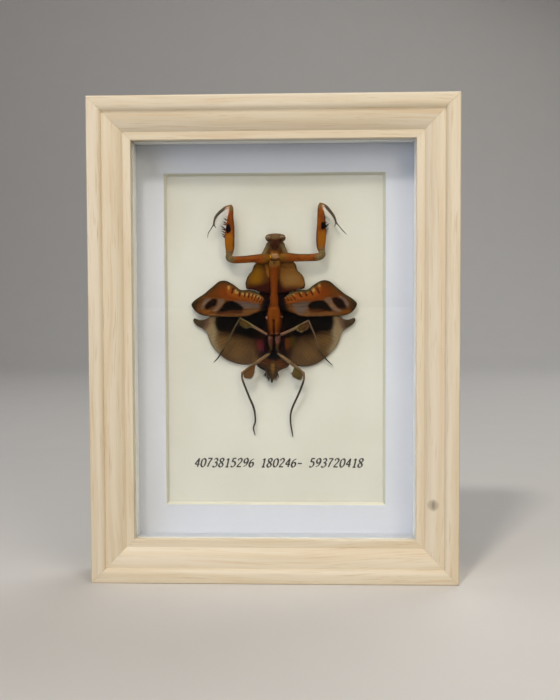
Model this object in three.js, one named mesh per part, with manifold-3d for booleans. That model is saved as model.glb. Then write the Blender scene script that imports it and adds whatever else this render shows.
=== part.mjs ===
// A dried leaf mantis, pinned belly outward on a cream card in a deep wooden box frame.
// Millimetres. X runs to the right, Y into the frame and Z up. The origin is at the middle of the foot.
import * as THREE from "three";
import { mergeVertices } from "three/addons/utils/BufferGeometryUtils.js";
import Module from "manifold-3d";

// Driving dimensions of the frame
const frameWidth = 160;
const frameHeight = 211;
const railDepth = 32; // front land to back face
const railWidth = 18.2; // outer edge to sight edge
const lipRecess = 5.5; // how far the inner lip lies behind the front land
const lipThickness = 3.5;
const rebateWidth = 5; // the lip's overlap on the glass
const fitGap = 0.3; // left between pieces that touch
const edgeRound = 0.8;

// Depths of the layers behind the lip
const glassThickness = 2;
const spacerDepth = 8.2;
const matThickness = 1.4;
const cardThickness = 0.6;
const foamThickness = 4.5;
const backThickness = 2.5;

// Opening cut in the mat, and the bevel of its edge
const windowWidth = 99;
const windowHeight = 149;
const windowBevel = 1.1;

// Fixings on the back
const tabWidth = 6;
const tabReach = 9;
const tabThickness = 0.4;
const hangerLength = 44;
const hangerWidth = 8.5;
const hangerThickness = 0.8;
const hangerStandOff = 0.3;
const hangerTooth = 1.6;
const hangerTeeth = 9;
const hangerPlainEnd = 8; // untoothed length at each end
const nailRadius = 0.8;
const nailHeadRadius = 2;
const nailHeadThickness = 0.7;
const nailDepth = 10;

// The insect's own place: its pin on the card's face
const pinHeight = 139.8;
const bodyAxisX = -0.3; // the line that its two sides are mirrored on
const pinRadius = 0.25;
const pinHeadRadius = 0.4;
const pinFront = 7.1;
const pinBite = 3.5; // how far it enters the foam

// Derived places along Y, from the front land backwards
const hangerProud = hangerStandOff + hangerThickness + nailHeadThickness;
const frontY = -(railDepth + hangerProud) / 2;
const glassY = frontY + lipRecess + lipThickness + fitGap;
const spacerY = glassY + glassThickness + fitGap;
const matY = spacerY + spacerDepth + fitGap;
const cardY = matY + matThickness + fitGap;
const foamY = cardY + cardThickness + fitGap;
const backY = foamY + foamThickness + fitGap;
const tabY = backY + backThickness + fitGap;
const railBackY = frontY + railDepth;
const hangerZ = frameHeight - (railWidth - rebateWidth) / 2;
const nailX = hangerLength / 2 - 4;
const rebateHalfWidth = frameWidth / 2 - railWidth + rebateWidth;
const rebateHalfHeight = frameHeight / 2 - railWidth + rebateWidth;

const wasm = await Module();
wasm.setup();

const root = new THREE.Group();

function material(color, roughness, metalness = 0) {
  return new THREE.MeshStandardMaterial({ color, roughness, metalness });
}

function glassMaterial() {
  return new THREE.MeshStandardMaterial({ color: 0xf4faf8, roughness: 0.05, transparent: true, opacity: 0.2 });
}

function addMesh(parent, name, geometry, look) {
  const mesh = new THREE.Mesh(geometry, look);
  mesh.name = name;
  parent.add(mesh);
  return mesh;
}

// A geometry as a solid that can be joined or cut
function solidOf(geometry) {
  const bare = geometry.clone();
  bare.deleteAttribute("normal");
  bare.deleteAttribute("uv");
  const merged = mergeVertices(bare, 1e-4);
  return new wasm.Manifold(
    new wasm.Mesh({
      numProp: 3,
      vertProperties: new Float32Array(merged.attributes.position.array),
      triVerts: new Uint32Array(merged.index.array),
    }),
  );
}

function geometryOf(solid) {
  const mesh = solid.getMesh();
  const geometry = new THREE.BufferGeometry();
  geometry.setAttribute("position", new THREE.BufferAttribute(mesh.vertProperties, 3));
  geometry.setIndex(new THREE.BufferAttribute(mesh.triVerts, 1));
  geometry.computeVertexNormals();
  return geometry;
}

function joined(geometries) {
  const solids = geometries.map(solidOf);
  return geometryOf(solids.slice(1).reduce((sum, next) => sum.add(next), solids[0]));
}

function cutBy(geometry, cutters) {
  return geometryOf(cutters.reduce((left, cutter) => left.subtract(solidOf(cutter)), solidOf(geometry)));
}

function moveVertices(geometry, place) {
  const position = geometry.attributes.position;
  const point = new THREE.Vector3();
  for (let i = 0; i < position.count; i++) {
    point.fromBufferAttribute(position, i);
    place(point);
    position.setXYZ(i, point.x, point.y, point.z);
  }
  geometry.computeVertexNormals();
  return geometry;
}

// Frame
// The moulding's section: x runs inward from the outer edge, y back from the front land.
function mouldingSection() {
  const landWidth = 3.8;
  const stepFoot = 6.3;
  const stepDrop = 2.1;
  const lipStart = 14.8;
  const lipChamfer = 0.3;
  const rebateX = railWidth - rebateWidth;
  const lipBack = lipRecess + lipThickness;
  const section = new THREE.Shape();
  section.moveTo(0, edgeRound);
  section.quadraticCurveTo(0, 0, edgeRound, 0);
  section.lineTo(landWidth, 0);
  section.quadraticCurveTo(stepFoot - 0.4, 0.1, stepFoot, stepDrop);
  section.bezierCurveTo(8.6, 1.8, 12.6, 2.9, lipStart, lipRecess);
  section.lineTo(railWidth - lipChamfer, lipRecess);
  section.lineTo(railWidth, lipRecess + lipChamfer);
  section.lineTo(railWidth, lipBack);
  section.lineTo(rebateX, lipBack);
  section.lineTo(rebateX, railDepth);
  section.lineTo(0, railDepth);
  section.closePath();
  return section;
}

// A moulding whose two ends are cut back by 45 degrees; its length runs along Z.
function mitredRail(length) {
  const mitreGap = fitGap / 2;
  const rail = new THREE.ExtrudeGeometry(mouldingSection(), {
    depth: length,
    steps: 1,
    curveSegments: 5,
    bevelEnabled: false,
  });
  return moveVertices(rail, (p) => {
    p.z = p.z < length / 2 ? p.x + mitreGap : length - p.x - mitreGap;
  });
}

function addRails() {
  const halfTurn = Math.PI;
  const quarterTurn = Math.PI / 2;
  const rails = [
    { name: "rail_left", length: frameHeight, x: -frameWidth / 2, z: 0, turn: 0 },
    { name: "rail_right", length: frameHeight, x: frameWidth / 2, z: frameHeight, turn: halfTurn },
    { name: "rail_bottom", length: frameWidth, x: frameWidth / 2, z: 0, turn: -quarterTurn },
    { name: "rail_top", length: frameWidth, x: -frameWidth / 2, z: frameHeight, turn: quarterTurn },
  ];
  for (const rail of rails) {
    const stick = mitredRail(rail.length);
    const shape = rail.name === "rail_top" ? cutBy(stick, nailHoles()) : stick;
    const mesh = addMesh(root, rail.name, shape, material(0xe4d3b2, 0.55));
    mesh.position.set(rail.x, frontY, rail.z);
    mesh.rotation.y = rail.turn;
  }
}

// The hanger's two nail holes, in the top moulding's own frame
function nailHoles() {
  const depth = nailDepth + fitGap;
  return [-nailX, nailX].map((x) => {
    const hole = new THREE.CylinderGeometry(nailRadius + fitGap, nailRadius + fitGap, 2 * depth, 16);
    return hole.translate((railWidth - rebateWidth) / 2, railDepth, frameWidth / 2 + x);
  });
}

// A flat sheet that fills the rebate, its front face at y
function rebateSheet(y, thickness) {
  const sheet = new THREE.BoxGeometry(
    2 * (rebateHalfWidth - fitGap),
    thickness,
    2 * (rebateHalfHeight - fitGap),
  );
  return sheet.translate(0, y + thickness / 2, frameHeight / 2);
}

function addSpacers() {
  const strip = rebateWidth - fitGap;
  const sideHeight = 2 * (rebateHalfHeight - fitGap);
  const endWidth = 2 * (rebateHalfWidth - strip - 2 * fitGap);
  const sideX = rebateHalfWidth - fitGap - strip / 2;
  const endZ = rebateHalfHeight - fitGap - strip / 2;
  const strips = [
    { name: "spacer_left", width: strip, height: sideHeight, x: -sideX, z: 0 },
    { name: "spacer_right", width: strip, height: sideHeight, x: sideX, z: 0 },
    { name: "spacer_bottom", width: endWidth, height: strip, x: 0, z: -endZ },
    { name: "spacer_top", width: endWidth, height: strip, x: 0, z: endZ },
  ];
  for (const piece of strips) {
    const box = new THREE.BoxGeometry(piece.width, spacerDepth, piece.height);
    const mesh = addMesh(root, piece.name, box, material(0xf2f2f0, 0.8));
    mesh.position.set(piece.x, spacerY + spacerDepth / 2, frameHeight / 2 + piece.z);
  }
}

function rectangle(path, halfWidth, halfHeight) {
  path.moveTo(-halfWidth, -halfHeight);
  path.lineTo(halfWidth, -halfHeight);
  path.lineTo(halfWidth, halfHeight);
  path.lineTo(-halfWidth, halfHeight);
  path.closePath();
  return path;
}

// The mat's window is wider at the front, so its cut edge shows as a bevel.
function windowMat() {
  const board = rectangle(new THREE.Shape(), rebateHalfWidth - fitGap, rebateHalfHeight - fitGap);
  board.holes.push(rectangle(new THREE.Path(), windowWidth / 2, windowHeight / 2));
  const mat = new THREE.ExtrudeGeometry(board, { depth: matThickness, bevelEnabled: false });
  const isWindowEdge = (p) => Math.abs(p.x) < windowWidth / 2 + 1 && Math.abs(p.y) < windowHeight / 2 + 1;
  moveVertices(mat, (p) => {
    if (p.z < matThickness / 2 && isWindowEdge(p)) {
      p.x -= Math.sign(p.x) * windowBevel;
      p.y -= Math.sign(p.y) * windowBevel;
    }
  });
  mat.rotateX(Math.PI / 2);
  return mat.translate(0, matY + matThickness, frameHeight / 2);
}

// Fixings
function addRetainingTabs() {
  const sideX = rebateHalfWidth - fitGap - tabReach / 2;
  const endZ = rebateHalfHeight - fitGap - tabReach / 2;
  const sideZ = rebateHalfHeight / 2;
  const places = [
    { x: -sideX, z: sideZ, upright: false },
    { x: -sideX, z: -sideZ, upright: false },
    { x: sideX, z: sideZ, upright: false },
    { x: sideX, z: -sideZ, upright: false },
    { x: 0, z: endZ, upright: true },
    { x: 0, z: -endZ, upright: true },
  ];
  places.forEach((place, index) => {
    const across = place.upright ? tabWidth : tabReach;
    const along = place.upright ? tabReach : tabWidth;
    const box = new THREE.BoxGeometry(across, tabThickness, along);
    const mesh = addMesh(root, `retaining_tab_${index + 1}`, box, material(0x8b8d8f, 0.4, 1));
    mesh.position.set(place.x, tabY + tabThickness / 2, frameHeight / 2 + place.z);
  });
}

// A steel strip with a row of teeth along its lower edge
function hangerPlate() {
  const halfLength = hangerLength / 2;
  const toothWidth = (hangerLength - 2 * hangerPlainEnd) / hangerTeeth;
  const outline = new THREE.Shape();
  outline.moveTo(-halfLength, -hangerWidth / 2);
  outline.lineTo(-halfLength + hangerPlainEnd, -hangerWidth / 2);
  for (let i = 0; i < hangerTeeth; i++) {
    const left = -halfLength + hangerPlainEnd + i * toothWidth;
    outline.lineTo(left + toothWidth / 2, -hangerWidth / 2 + hangerTooth);
    outline.lineTo(left + toothWidth, -hangerWidth / 2);
  }
  outline.lineTo(halfLength, -hangerWidth / 2);
  outline.lineTo(halfLength, hangerWidth / 2);
  outline.lineTo(-halfLength, hangerWidth / 2);
  outline.closePath();
  const plate = new THREE.ExtrudeGeometry(outline, { depth: hangerThickness, bevelEnabled: false });
  plate.rotateX(Math.PI / 2);
  plate.translate(0, railBackY + hangerStandOff + hangerThickness, hangerZ);
  const drillLength = 10;
  const drills = [-nailX, nailX].map((x) => {
    const drill = new THREE.CylinderGeometry(nailRadius + fitGap, nailRadius + fitGap, drillLength, 16);
    return drill.translate(x, railBackY, hangerZ);
  });
  return cutBy(plate, drills);
}

// A round-headed nail, its axis along Y and its head outward
function nail() {
  const shankTop = hangerStandOff + hangerThickness;
  const profile = [
    new THREE.Vector2(0, -nailDepth),
    new THREE.Vector2(nailRadius, -nailDepth + 2),
    new THREE.Vector2(nailRadius, shankTop),
    new THREE.Vector2(nailHeadRadius, shankTop),
    new THREE.Vector2(nailHeadRadius * 0.75, shankTop + nailHeadThickness * 0.7),
    new THREE.Vector2(0, shankTop + nailHeadThickness),
  ];
  return new THREE.LatheGeometry(profile, 16);
}

// Insect
// Its points are x to the right, z up from the pin, and h outward from the card.
const insect = new THREE.Group();
insect.position.set(0, cardY, pinHeight);
root.add(insect);

// A plate lying parallel to the card. Its face is the outline; lift gives the height of each point.
function plate(outline, thickness, lift, edge = 0) {
  const shape = new THREE.Shape();
  const curve = new THREE.CatmullRomCurve3(
    outline.map(([x, z]) => new THREE.Vector3(x, z, 0)),
    true,
    "centripetal",
  );
  const rim = curve.getPoints(outline.length * 3).slice(1);
  shape.setFromPoints(rim.map((p) => new THREE.Vector2(p.x, p.y)));
  const slab = new THREE.ExtrudeGeometry(shape, {
    depth: thickness - 2 * edge,
    bevelEnabled: edge > 0,
    bevelThickness: edge,
    bevelSize: edge,
    bevelOffset: -edge,
    bevelSegments: 2,
  });
  slab.translate(0, 0, edge);
  slab.rotateX(Math.PI / 2);
  return moveVertices(slab, (p) => {
    p.y -= lift(p.x, p.z);
  });
}

// A round or flattened limb along a list of [x, z, h, radius], with pointed or blunt ends.
// flat is its height off the card over its width, sides the number of faces round it.
function limb(stations, flat = 1, sides = 8, stepsEach = 2) {
  const curve = new THREE.CatmullRomCurve3(
    stations.map(([x, z, h]) => new THREE.Vector3(x, -h, z)),
    false,
    "centripetal",
  );
  const last = stations.length - 1;
  const count = last * stepsEach;
  const radiusAt = (t) => {
    const i = Math.min(Math.floor(t * last), last - 1);
    return THREE.MathUtils.lerp(stations[i][3], stations[i + 1][3], t * last - i);
  };
  const profile = [new THREE.Vector2(0, 0)];
  for (let i = 0; i <= count; i++) profile.push(new THREE.Vector2(radiusAt(i / count), i));
  profile.push(new THREE.Vector2(0, count));
  const lathe = new THREE.LatheGeometry(profile, sides);
  const outward = new THREE.Vector3(0, -1, 0);
  return moveVertices(lathe, (p) => {
    const t = THREE.MathUtils.clamp(p.y / count, 0, 1);
    const centre = curve.getPoint(t);
    const tangent = curve.getTangent(t);
    const side = new THREE.Vector3().crossVectors(tangent, outward).normalize();
    const up = new THREE.Vector3().crossVectors(side, tangent).normalize();
    const [across, off] = [p.x, p.z];
    p.copy(centre).addScaledVector(side, across).addScaledVector(up, off * flat);
  });
}

function ball(x, z, h, radiusX, radiusZ, radiusH) {
  const sphere = new THREE.SphereGeometry(1, 10, 7);
  return sphere.scale(radiusX, radiusH, radiusZ).translate(x, -h, z);
}

// Places [out, ...] points on one side of the body's axis; side is -1 on the left and 1 on the right.
function onSide(side, points) {
  const placed = points.map(([out, ...rest]) => [bodyAxisX + side * out, ...rest]);
  return side < 0 ? placed : placed.reverse();
}

function pinBore() {
  const radius = pinRadius + fitGap;
  const length = 40;
  return new THREE.CylinderGeometry(radius, radius, length, 12);
}

// The skull, an eye at each end of it, and the face that points down towards the pin
function head() {
  const faceX = 0.3;
  return joined([
    ball(faceX, 11.2, 5.4, 3.4, 1.6, 1.7),
    ball(-2.7, 11.0, 5.3, 1.5, 1.35, 1.5),
    ball(3.8, 10.9, 5.3, 1.5, 1.35, 1.5),
    limb([[faceX, 11.2, 5.6, 2.5], [faceX, 9.4, 5.9, 2.3], [faceX, 8.6, 6, 1.4]], 0.7, 10),
  ]);
}

// The shield is a thin leaf-like plate; the body's narrow belly ridge stands in front of it.
function prothorax() {
  const outline = [
    [0.4, 8.1], [-2.2, 7.8], [-5.2, 4.7], [-7.6, 1.2], [-9.2, -0.8], [-10.1, -3.2],
    [-12.1, -5.8], [-13.0, -8.8], [-12.7, -11.2], [-9.6, -11.9], [-5.2, -13.2], [0.3, -13.6],
    [5.8, -13.2], [10.2, -11.8], [13.4, -11.1], [13.8, -8.6], [12.6, -5.4], [10.3, -3.0],
    [9.6, -0.6], [8.4, 1.2], [6.0, 4.8], [3.0, 7.8],
  ];
  const cup = (x, z) => 2.4 + 0.006 * (x * x) + 0.004 * (z + 4) ** 2;
  const shield = plate(outline, 0.8, cup, 0.3);
  const ridge = limb(
    [[0.2, 7.3, 4.2, 1.4], [0.3, 4, 4.6, 2.5], [0.1, 0, 4.8, 2.6], [-0.1, -4, 4.8, 2.1],
      [-0.1, -10, 4.9, 1.65], [-0.1, -18.4, 5.1, 1.65]],
    0.72,
    12,
  );
  return cutBy(joined([shield, ridge]), [pinBore()]);
}

// The broad back part, with two pairs of leg bases standing out of it
function thorax() {
  const parts = [
    limb([[bodyAxisX, -14.4, 2.0, 2.2], [bodyAxisX, -20, 2.4, 3.1], [bodyAxisX, -30, 2.8, 3.1],
      [bodyAxisX, -39.2, 2.6, 2.0]], 0.42, 12),
    limb([[bodyAxisX, -19, 4.6, 2.6], [bodyAxisX, -23, 4.7, 2.8], [bodyAxisX, -26, 4.5, 2.4]], 0.66, 12),
  ];
  for (const side of [-1, 1]) {
    const across = (out) => bodyAxisX + side * out;
    parts.push(limb([[across(1.4), -22, 4.9, 1.4], [across(1.3), -26.5, 5.1, 1.35], [across(0.9), -31.2, 4.9, 0.7]]));
    parts.push(limb([[across(1.6), -33.2, 4.3, 1.2], [across(1.4), -36, 4.5, 1.2], [across(0.8), -39.1, 4.2, 0.6]]));
  }
  return joined(parts);
}

function abdomen() {
  const outline = [
    [-0.3, -39.7], [-4.4, -41.6], [-8.5, -45.0], [-7.6, -46.7], [-4.6, -48.6], [-3.1, -50.6],
    [-1.7, -53.6], [0.4, -50.6], [3.0, -48.2], [6.2, -46.3], [6.8, -44.7], [3.6, -41.6],
  ];
  const bellyPlate = plate(outline, 2.2, () => 1.7, 0.5);
  const keel = limb(
    [[-0.6, -43.2, 3.2, 0.5], [-0.9, -47, 3.4, 1.2], [-1.2, -50, 3.1, 1.1], [-1.6, -52.8, 2.6, 0.5]], 0.7);
  return joined([bellyPlate, keel]);
}

function forewing(side) {
  const outline = [
    [3.6, -16.6], [5.6, -14.6], [7.8, -12.7], [11.0, -11.8], [15.0, -11.7], [17.5, -9.8],
    [21.4, -7.7], [24.4, -7.9], [27.2, -10.0], [31.6, -13.7], [35.4, -16.2], [37.0, -18.2],
    [35.2, -21.4], [32.0, -23.1], [28.0, -23.5], [20.0, -23.8], [12.0, -23.6], [8.6, -21.8],
    [5.0, -21.0], [3.6, -20.4],
  ];
  const lift = (x) => 2.5 + 0.9 * Math.exp(-Math.abs(x - bodyAxisX) / 8);
  return plate(onSide(side, outline), 0.5, lift);
}

function hindwing(side) {
  const outline = [
    [3.6, -22.8], [10.0, -20.4], [24.0, -20.4], [32.5, -22.8], [36.2, -24.4], [35.0, -26.4],
    [31.9, -28.2], [30.1, -30.4], [29.5, -33.4], [28.0, -36.8], [25.1, -40.2], [21.8, -43.3],
    [18.4, -45.4], [15.2, -46.3], [11.4, -46.3], [8.0, -45.2], [5.2, -42.8], [3.6, -39.4],
  ];
  return plate(onSide(side, outline), 0.4, (x, z) => 0.9 + 0.35 * Math.exp(-((z + 25) ** 2) / 60));
}

// Grasping legs: the upper arm runs level, the flat femur stands up and the hooked tibia folds outward.
const forelegs = {
  left: {
    coxa: [[-2.8, 2.0, 5.3, 1.9], [-5.8, 1.9, 5.2, 2.2], [-9.1, 2.0, 5.1, 1.75], [-13.3, 1.7, 5.0, 1.6],
      [-18.4, 1.6, 4.9, 1.6], [-20.1, 2.4, 4.9, 1.5], [-20.3, 4.0, 4.9, 1.3]],
    femur: [[-20.3, 3.0, 4.8, 1.2], [-19.8, 6.0, 4.8, 1.9], [-19.8, 12.0, 4.8, 2.2], [-19.5, 16.0, 4.8, 1.9],
      [-19.4, 20.5, 4.8, 1.35], [-19.1, 24.6, 4.8, 1.0], [-19.3, 25.7, 4.8, 0.6]],
    tibia: [[-19.3, 25.2, 4.8, 0.8], [-21.6, 24.5, 4.9, 0.75], [-24.0, 22.7, 4.9, 0.7],
      [-25.9, 20.6, 4.7, 0.6], [-26.8, 18.2, 4.4, 0.4], [-26.9, 17.0, 4.2, 0.3]],
    claw: [[-26.8, 17.5, 4.3, 0.35], [-26.5, 16.6, 4.2, 0.25], [-25.8, 15.7, 4.1, 0.1]],
    tarsus: [[-26.9, 17.4, 4.2, 0.35], [-28.3, 15.2, 3.6, 0.25], [-29.5, 13.5, 2.8, 0.25], [-29.9, 11.6, 2, 0.2]],
  },
  right: {
    coxa: [[3.1, 2.4, 5.3, 1.8], [6.0, 2.5, 5.2, 2.0], [10.5, 2.3, 5.1, 1.75], [16.0, 2.4, 5.0, 1.65],
      [19.6, 2.7, 4.9, 1.7], [21.2, 3.6, 4.9, 1.5], [21.2, 5.0, 4.9, 1.3]],
    femur: [[21.3, 4.2, 4.8, 1.2], [20.7, 7.0, 4.8, 1.9], [20.8, 12.5, 4.8, 2.2], [20.9, 17.0, 4.8, 1.95],
      [20.7, 21.5, 4.8, 1.6], [20.5, 25.2, 4.8, 1.1], [20.6, 26.3, 4.8, 0.6]],
    tibia: [[20.6, 25.8, 4.8, 0.8], [22.6, 25.0, 4.9, 0.75], [24.8, 22.6, 4.9, 0.7],
      [26.4, 20.4, 4.7, 0.6], [27.2, 18.6, 4.4, 0.4], [27.3, 17.6, 4.2, 0.3]],
    claw: [[27.2, 18.2, 4.3, 0.35], [27.1, 17.0, 4.2, 0.25], [26.6, 15.9, 4.1, 0.1]],
    tarsus: [[27.3, 18.0, 4.2, 0.35], [29.0, 15.9, 3.6, 0.25], [30.7, 14.0, 2.8, 0.25], [32.1, 12.7, 2, 0.2]],
  },
};

function foreleg(leg) {
  return joined([
    limb(leg.coxa, 0.65, 10),
    limb(leg.femur, 0.5, 10),
    limb(leg.tibia),
    limb(leg.claw, 1, 6, 1),
    limb(leg.tarsus, 1, 6),
  ]);
}

// Walking legs: thigh, shin and foot on one line of points, with a leaf-like lobe under the thigh.
const walkingLegs = {
  midleg_left: {
    thigh: [[-2.4, -32.2, 5.2, 0.6], [-8.6, -28.6, 5.6, 0.65], [-15.2, -24.4, 6, 0.5]],
    shin: [[-15.2, -24.5, 6, 0.45], [-17.8, -28.6, 5.6, 0.4], [-20.1, -33.2, 4.8, 0.4], [-22.0, -37.1, 3.8, 0.38],
      [-24.0, -40.0, 3, 0.35], [-25.8, -42.5, 2, 0.3], [-27.5, -44.1, 1.2, 0.25]],
    lobe: [[-11.0, -27.2], [-15.0, -24.9], [-16.0, -26.4], [-14.8, -28.6], [-12.4, -28.8]],
    lobeHeight: 5.3,
  },
  midleg_right: {
    thigh: [[1.9, -32.2, 5.2, 0.6], [8.6, -29.2, 5.6, 0.65], [15.0, -25.7, 6, 0.5]],
    shin: [[15.0, -25.8, 6, 0.45], [17.0, -29.8, 5.6, 0.4], [18.5, -34.3, 4.8, 0.4], [19.7, -38.2, 3.8, 0.38],
      [21.5, -41.2, 3, 0.35], [23.6, -43.6, 2, 0.3], [25.6, -45.5, 1.2, 0.25]],
    lobe: [[10.4, -28.6], [14.4, -26.3], [15.2, -28.0], [14.6, -30.0], [12.0, -30.6]],
    lobeHeight: 5.3,
  },
  hindleg_left: {
    thigh: [[-2.5, -40.2, 5.1, 0.65], [-8.6, -44.6, 5.3, 0.8], [-14.4, -48.8, 5.2, 0.65]],
    shin: [[-14.5, -48.8, 5.2, 0.55], [-14.6, -51.0, 5, 0.5], [-13.5, -54.5, 4.6, 0.42], [-11.5, -59.7, 3.8, 0.42],
      [-9.6, -64.7, 2.8, 0.42], [-9.1, -67.5, 2.2, 0.35], [-9.0, -71.0, 1.6, 0.35], [-9.8, -74.2, 1.1, 0.3],
      [-9.2, -77.0, 0.9, 0.25]],
    lobe: [[-8.9, -45.2], [-13.7, -48.4], [-13.6, -50.4], [-12.8, -51.2], [-10.4, -51.2], [-9.0, -48.6]],
    lobeHeight: 4.7,
  },
  hindleg_right: {
    thigh: [[1.7, -40.2, 5.1, 0.65], [7.2, -44.4, 5.3, 0.8], [12.8, -48.9, 5.2, 0.65]],
    shin: [[12.9, -48.9, 5.2, 0.55], [13.1, -51.0, 5, 0.5], [12.2, -54.4, 4.6, 0.42], [10.0, -59.7, 3.8, 0.42],
      [7.8, -64.6, 2.8, 0.42], [7.0, -67.5, 2.2, 0.35], [6.9, -71.2, 1.6, 0.35], [7.4, -74.8, 1.1, 0.3],
      [7.9, -77.7, 0.9, 0.25]],
    lobe: [[7.2, -45.6], [11.8, -48.8], [12.0, -50.6], [11.0, -51.6], [8.8, -51.0], [7.3, -48.6]],
    lobeHeight: 4.7,
  },
};

function walkingLeg(leg) {
  const lobe = plate(leg.lobe, 0.7, () => leg.lobeHeight, 0.2);
  return joined([limb(leg.thigh, 1, 8, 3), limb(leg.shin, 1, 8), lobe]);
}

function insectPin() {
  const pointDepth = -(cardThickness + fitGap + pinBite);
  const profile = [
    new THREE.Vector2(0, pointDepth),
    new THREE.Vector2(pinRadius, pointDepth + 1.2),
    new THREE.Vector2(pinRadius, pinFront),
    new THREE.Vector2(pinHeadRadius, pinFront + 0.2),
    new THREE.Vector2(pinHeadRadius, pinFront + 0.5),
    new THREE.Vector2(0, pinFront + 0.7),
  ];
  return new THREE.LatheGeometry(profile, 12).rotateX(Math.PI);
}

// Assembly
function boredAtPin(sheet) {
  return cutBy(sheet, [pinBore().translate(0, cardY, pinHeight)]);
}

// The foam keeps its back face whole: the pin's point stops inside it.
function foamBoard() {
  const depth = pinBite + fitGap + fitGap;
  const bore = new THREE.CylinderGeometry(pinRadius + fitGap, pinRadius + fitGap, 2 * depth, 12);
  return cutBy(rebateSheet(foamY, foamThickness), [bore.translate(0, foamY, pinHeight)]);
}

addRails();
addMesh(root, "glass_pane", rebateSheet(glassY, glassThickness), glassMaterial());
addSpacers();
addMesh(root, "window_mat", windowMat(), material(0xf4f4f4, 0.9));
addMesh(root, "backing_card", boredAtPin(rebateSheet(cardY, cardThickness)), material(0xdcdac8, 0.9));
addMesh(root, "foam_board", foamBoard(), material(0xf2f2f0, 0.85));
addMesh(root, "back_board", rebateSheet(backY, backThickness), material(0x8a6a48, 0.75));
addRetainingTabs();
addMesh(root, "hanger_plate", hangerPlate(), material(0xb9a468, 0.35, 1));
for (const [name, x] of [["hanger_nail_left", -nailX], ["hanger_nail_right", nailX]]) {
  const mesh = addMesh(root, name, nail(), material(0xb9a468, 0.35, 1));
  mesh.position.set(x, railBackY, hangerZ);
}

const chestnut = 0x7a4a20;
const legBrown = 0x5b4a36;
addMesh(insect, "head", head(), material(0x5a4028, 0.5));
addMesh(insect, "prothorax", prothorax(), material(0x6b5232, 0.5));
addMesh(insect, "thorax", thorax(), material(chestnut, 0.5));
addMesh(insect, "abdomen", abdomen(), material(0x5d4424, 0.5));
for (const [name, side] of [["left", -1], ["right", 1]]) {
  addMesh(insect, `forewing_${name}`, forewing(side), material(0x8a4a16, 0.45));
  addMesh(insect, `hindwing_${name}`, hindwing(side), material(0x3a2c1c, 0.5));
  addMesh(insect, `foreleg_${name}`, foreleg(forelegs[name]), material(0xa35a1c, 0.45));
}
for (const [name, leg] of Object.entries(walkingLegs)) {
  addMesh(insect, name, walkingLeg(leg), material(legBrown, 0.5));
}
addMesh(insect, "insect_pin", insectPin(), material(0x1c1c1e, 0.3, 1));

export default root;
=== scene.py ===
# A dead leaf mantis pinned belly outward on a cream card, in a deep wooden box frame.
# The tables are in millimetres. X is to the right, Y into the frame, Z up; the front faces -Y.
import math

import bmesh
import bpy
import numpy as np
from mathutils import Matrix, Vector, geometry


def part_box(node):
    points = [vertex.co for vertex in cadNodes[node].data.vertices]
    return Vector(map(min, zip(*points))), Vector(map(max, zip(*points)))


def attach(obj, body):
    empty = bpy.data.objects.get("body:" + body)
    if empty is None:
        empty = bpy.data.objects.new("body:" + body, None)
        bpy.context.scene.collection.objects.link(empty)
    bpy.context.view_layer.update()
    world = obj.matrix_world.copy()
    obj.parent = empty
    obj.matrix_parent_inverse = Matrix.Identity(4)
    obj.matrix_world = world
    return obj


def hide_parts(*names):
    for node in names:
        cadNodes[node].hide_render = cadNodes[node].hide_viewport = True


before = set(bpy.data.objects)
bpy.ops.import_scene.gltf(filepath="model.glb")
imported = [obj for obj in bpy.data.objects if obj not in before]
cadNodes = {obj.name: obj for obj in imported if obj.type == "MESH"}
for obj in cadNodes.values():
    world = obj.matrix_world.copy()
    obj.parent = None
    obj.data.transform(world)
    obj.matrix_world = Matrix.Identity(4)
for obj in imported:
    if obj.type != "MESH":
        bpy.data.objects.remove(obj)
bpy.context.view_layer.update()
mm = 0.001
scene = bpy.context.scene
chance = np.random.default_rng(7)
print("frame loaded:", len(cadNodes), "nodes")

# places read from the CAD
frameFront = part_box("rail_left")[0].y / mm
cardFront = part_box("backing_card")[0].y / mm
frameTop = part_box("rail_top")[1].z / mm
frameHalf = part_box("rail_right")[1].x / mm
pinHeight = (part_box("insect_pin")[0].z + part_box("insect_pin")[1].z) / 2 / mm
bodyAxis = -0.3  # the insect's own middle line, left of the pin


def newObject(name, data):
    made = bpy.data.objects.new(name, data)
    scene.collection.objects.link(made)
    return made


# colour and node tools
def hexColour(text):
    parts = [int(text[i:i + 2], 16) / 255 for i in (1, 3, 5)]
    linear = [p / 12.92 if p <= 0.04045 else ((p + 0.055) / 1.055) ** 2.4 for p in parts]
    return (*linear, 1.0)


def addNode(tree, kind, links=None, **settings):
    made = tree.nodes.new("ShaderNode" + kind)
    for name, value in settings.items():
        setattr(made, name, value)
    for socket, value in (links or {}).items():
        if isinstance(value, bpy.types.NodeSocket):
            tree.links.new(value, made.inputs[socket])
        else:
            made.inputs[socket].default_value = value
    return made


def newMaterial(name, finish):
    made = bpy.data.materials.new(name)
    made.use_nodes = True
    tree = made.node_tree
    tree.nodes.clear()
    shader = addNode(tree, "BsdfPrincipled", finish)
    addNode(tree, "OutputMaterial", {"Surface": shader.outputs[0]})
    return made, tree, shader


# mix of two colours by a factor; b and a may be hex text or sockets
def blended(tree, factor, a, b):
    a, b = (hexColour(c) if isinstance(c, str) else c for c in (a, b))
    return addNode(tree, "Mix", {0: factor, 6: a, 7: b}, data_type="RGBA").outputs[2]


def noiseAt(tree, place, scale, detail, roughness=0.5):
    links = {"Vector": place, "Scale": scale, "Detail": detail, "Roughness": roughness}
    return addNode(tree, "TexNoise", links).outputs["Fac"]


# a value carried from one range to another with a soft start and end
def ranged(tree, value, low, high, toLow=0.0, toHigh=1.0):
    links = {"Value": value, "From Min": low, "From Max": high, "To Min": toLow, "To Max": toHigh}
    return addNode(tree, "MapRange", links, interpolation_type="SMOOTHSTEP").outputs["Result"]


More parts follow.
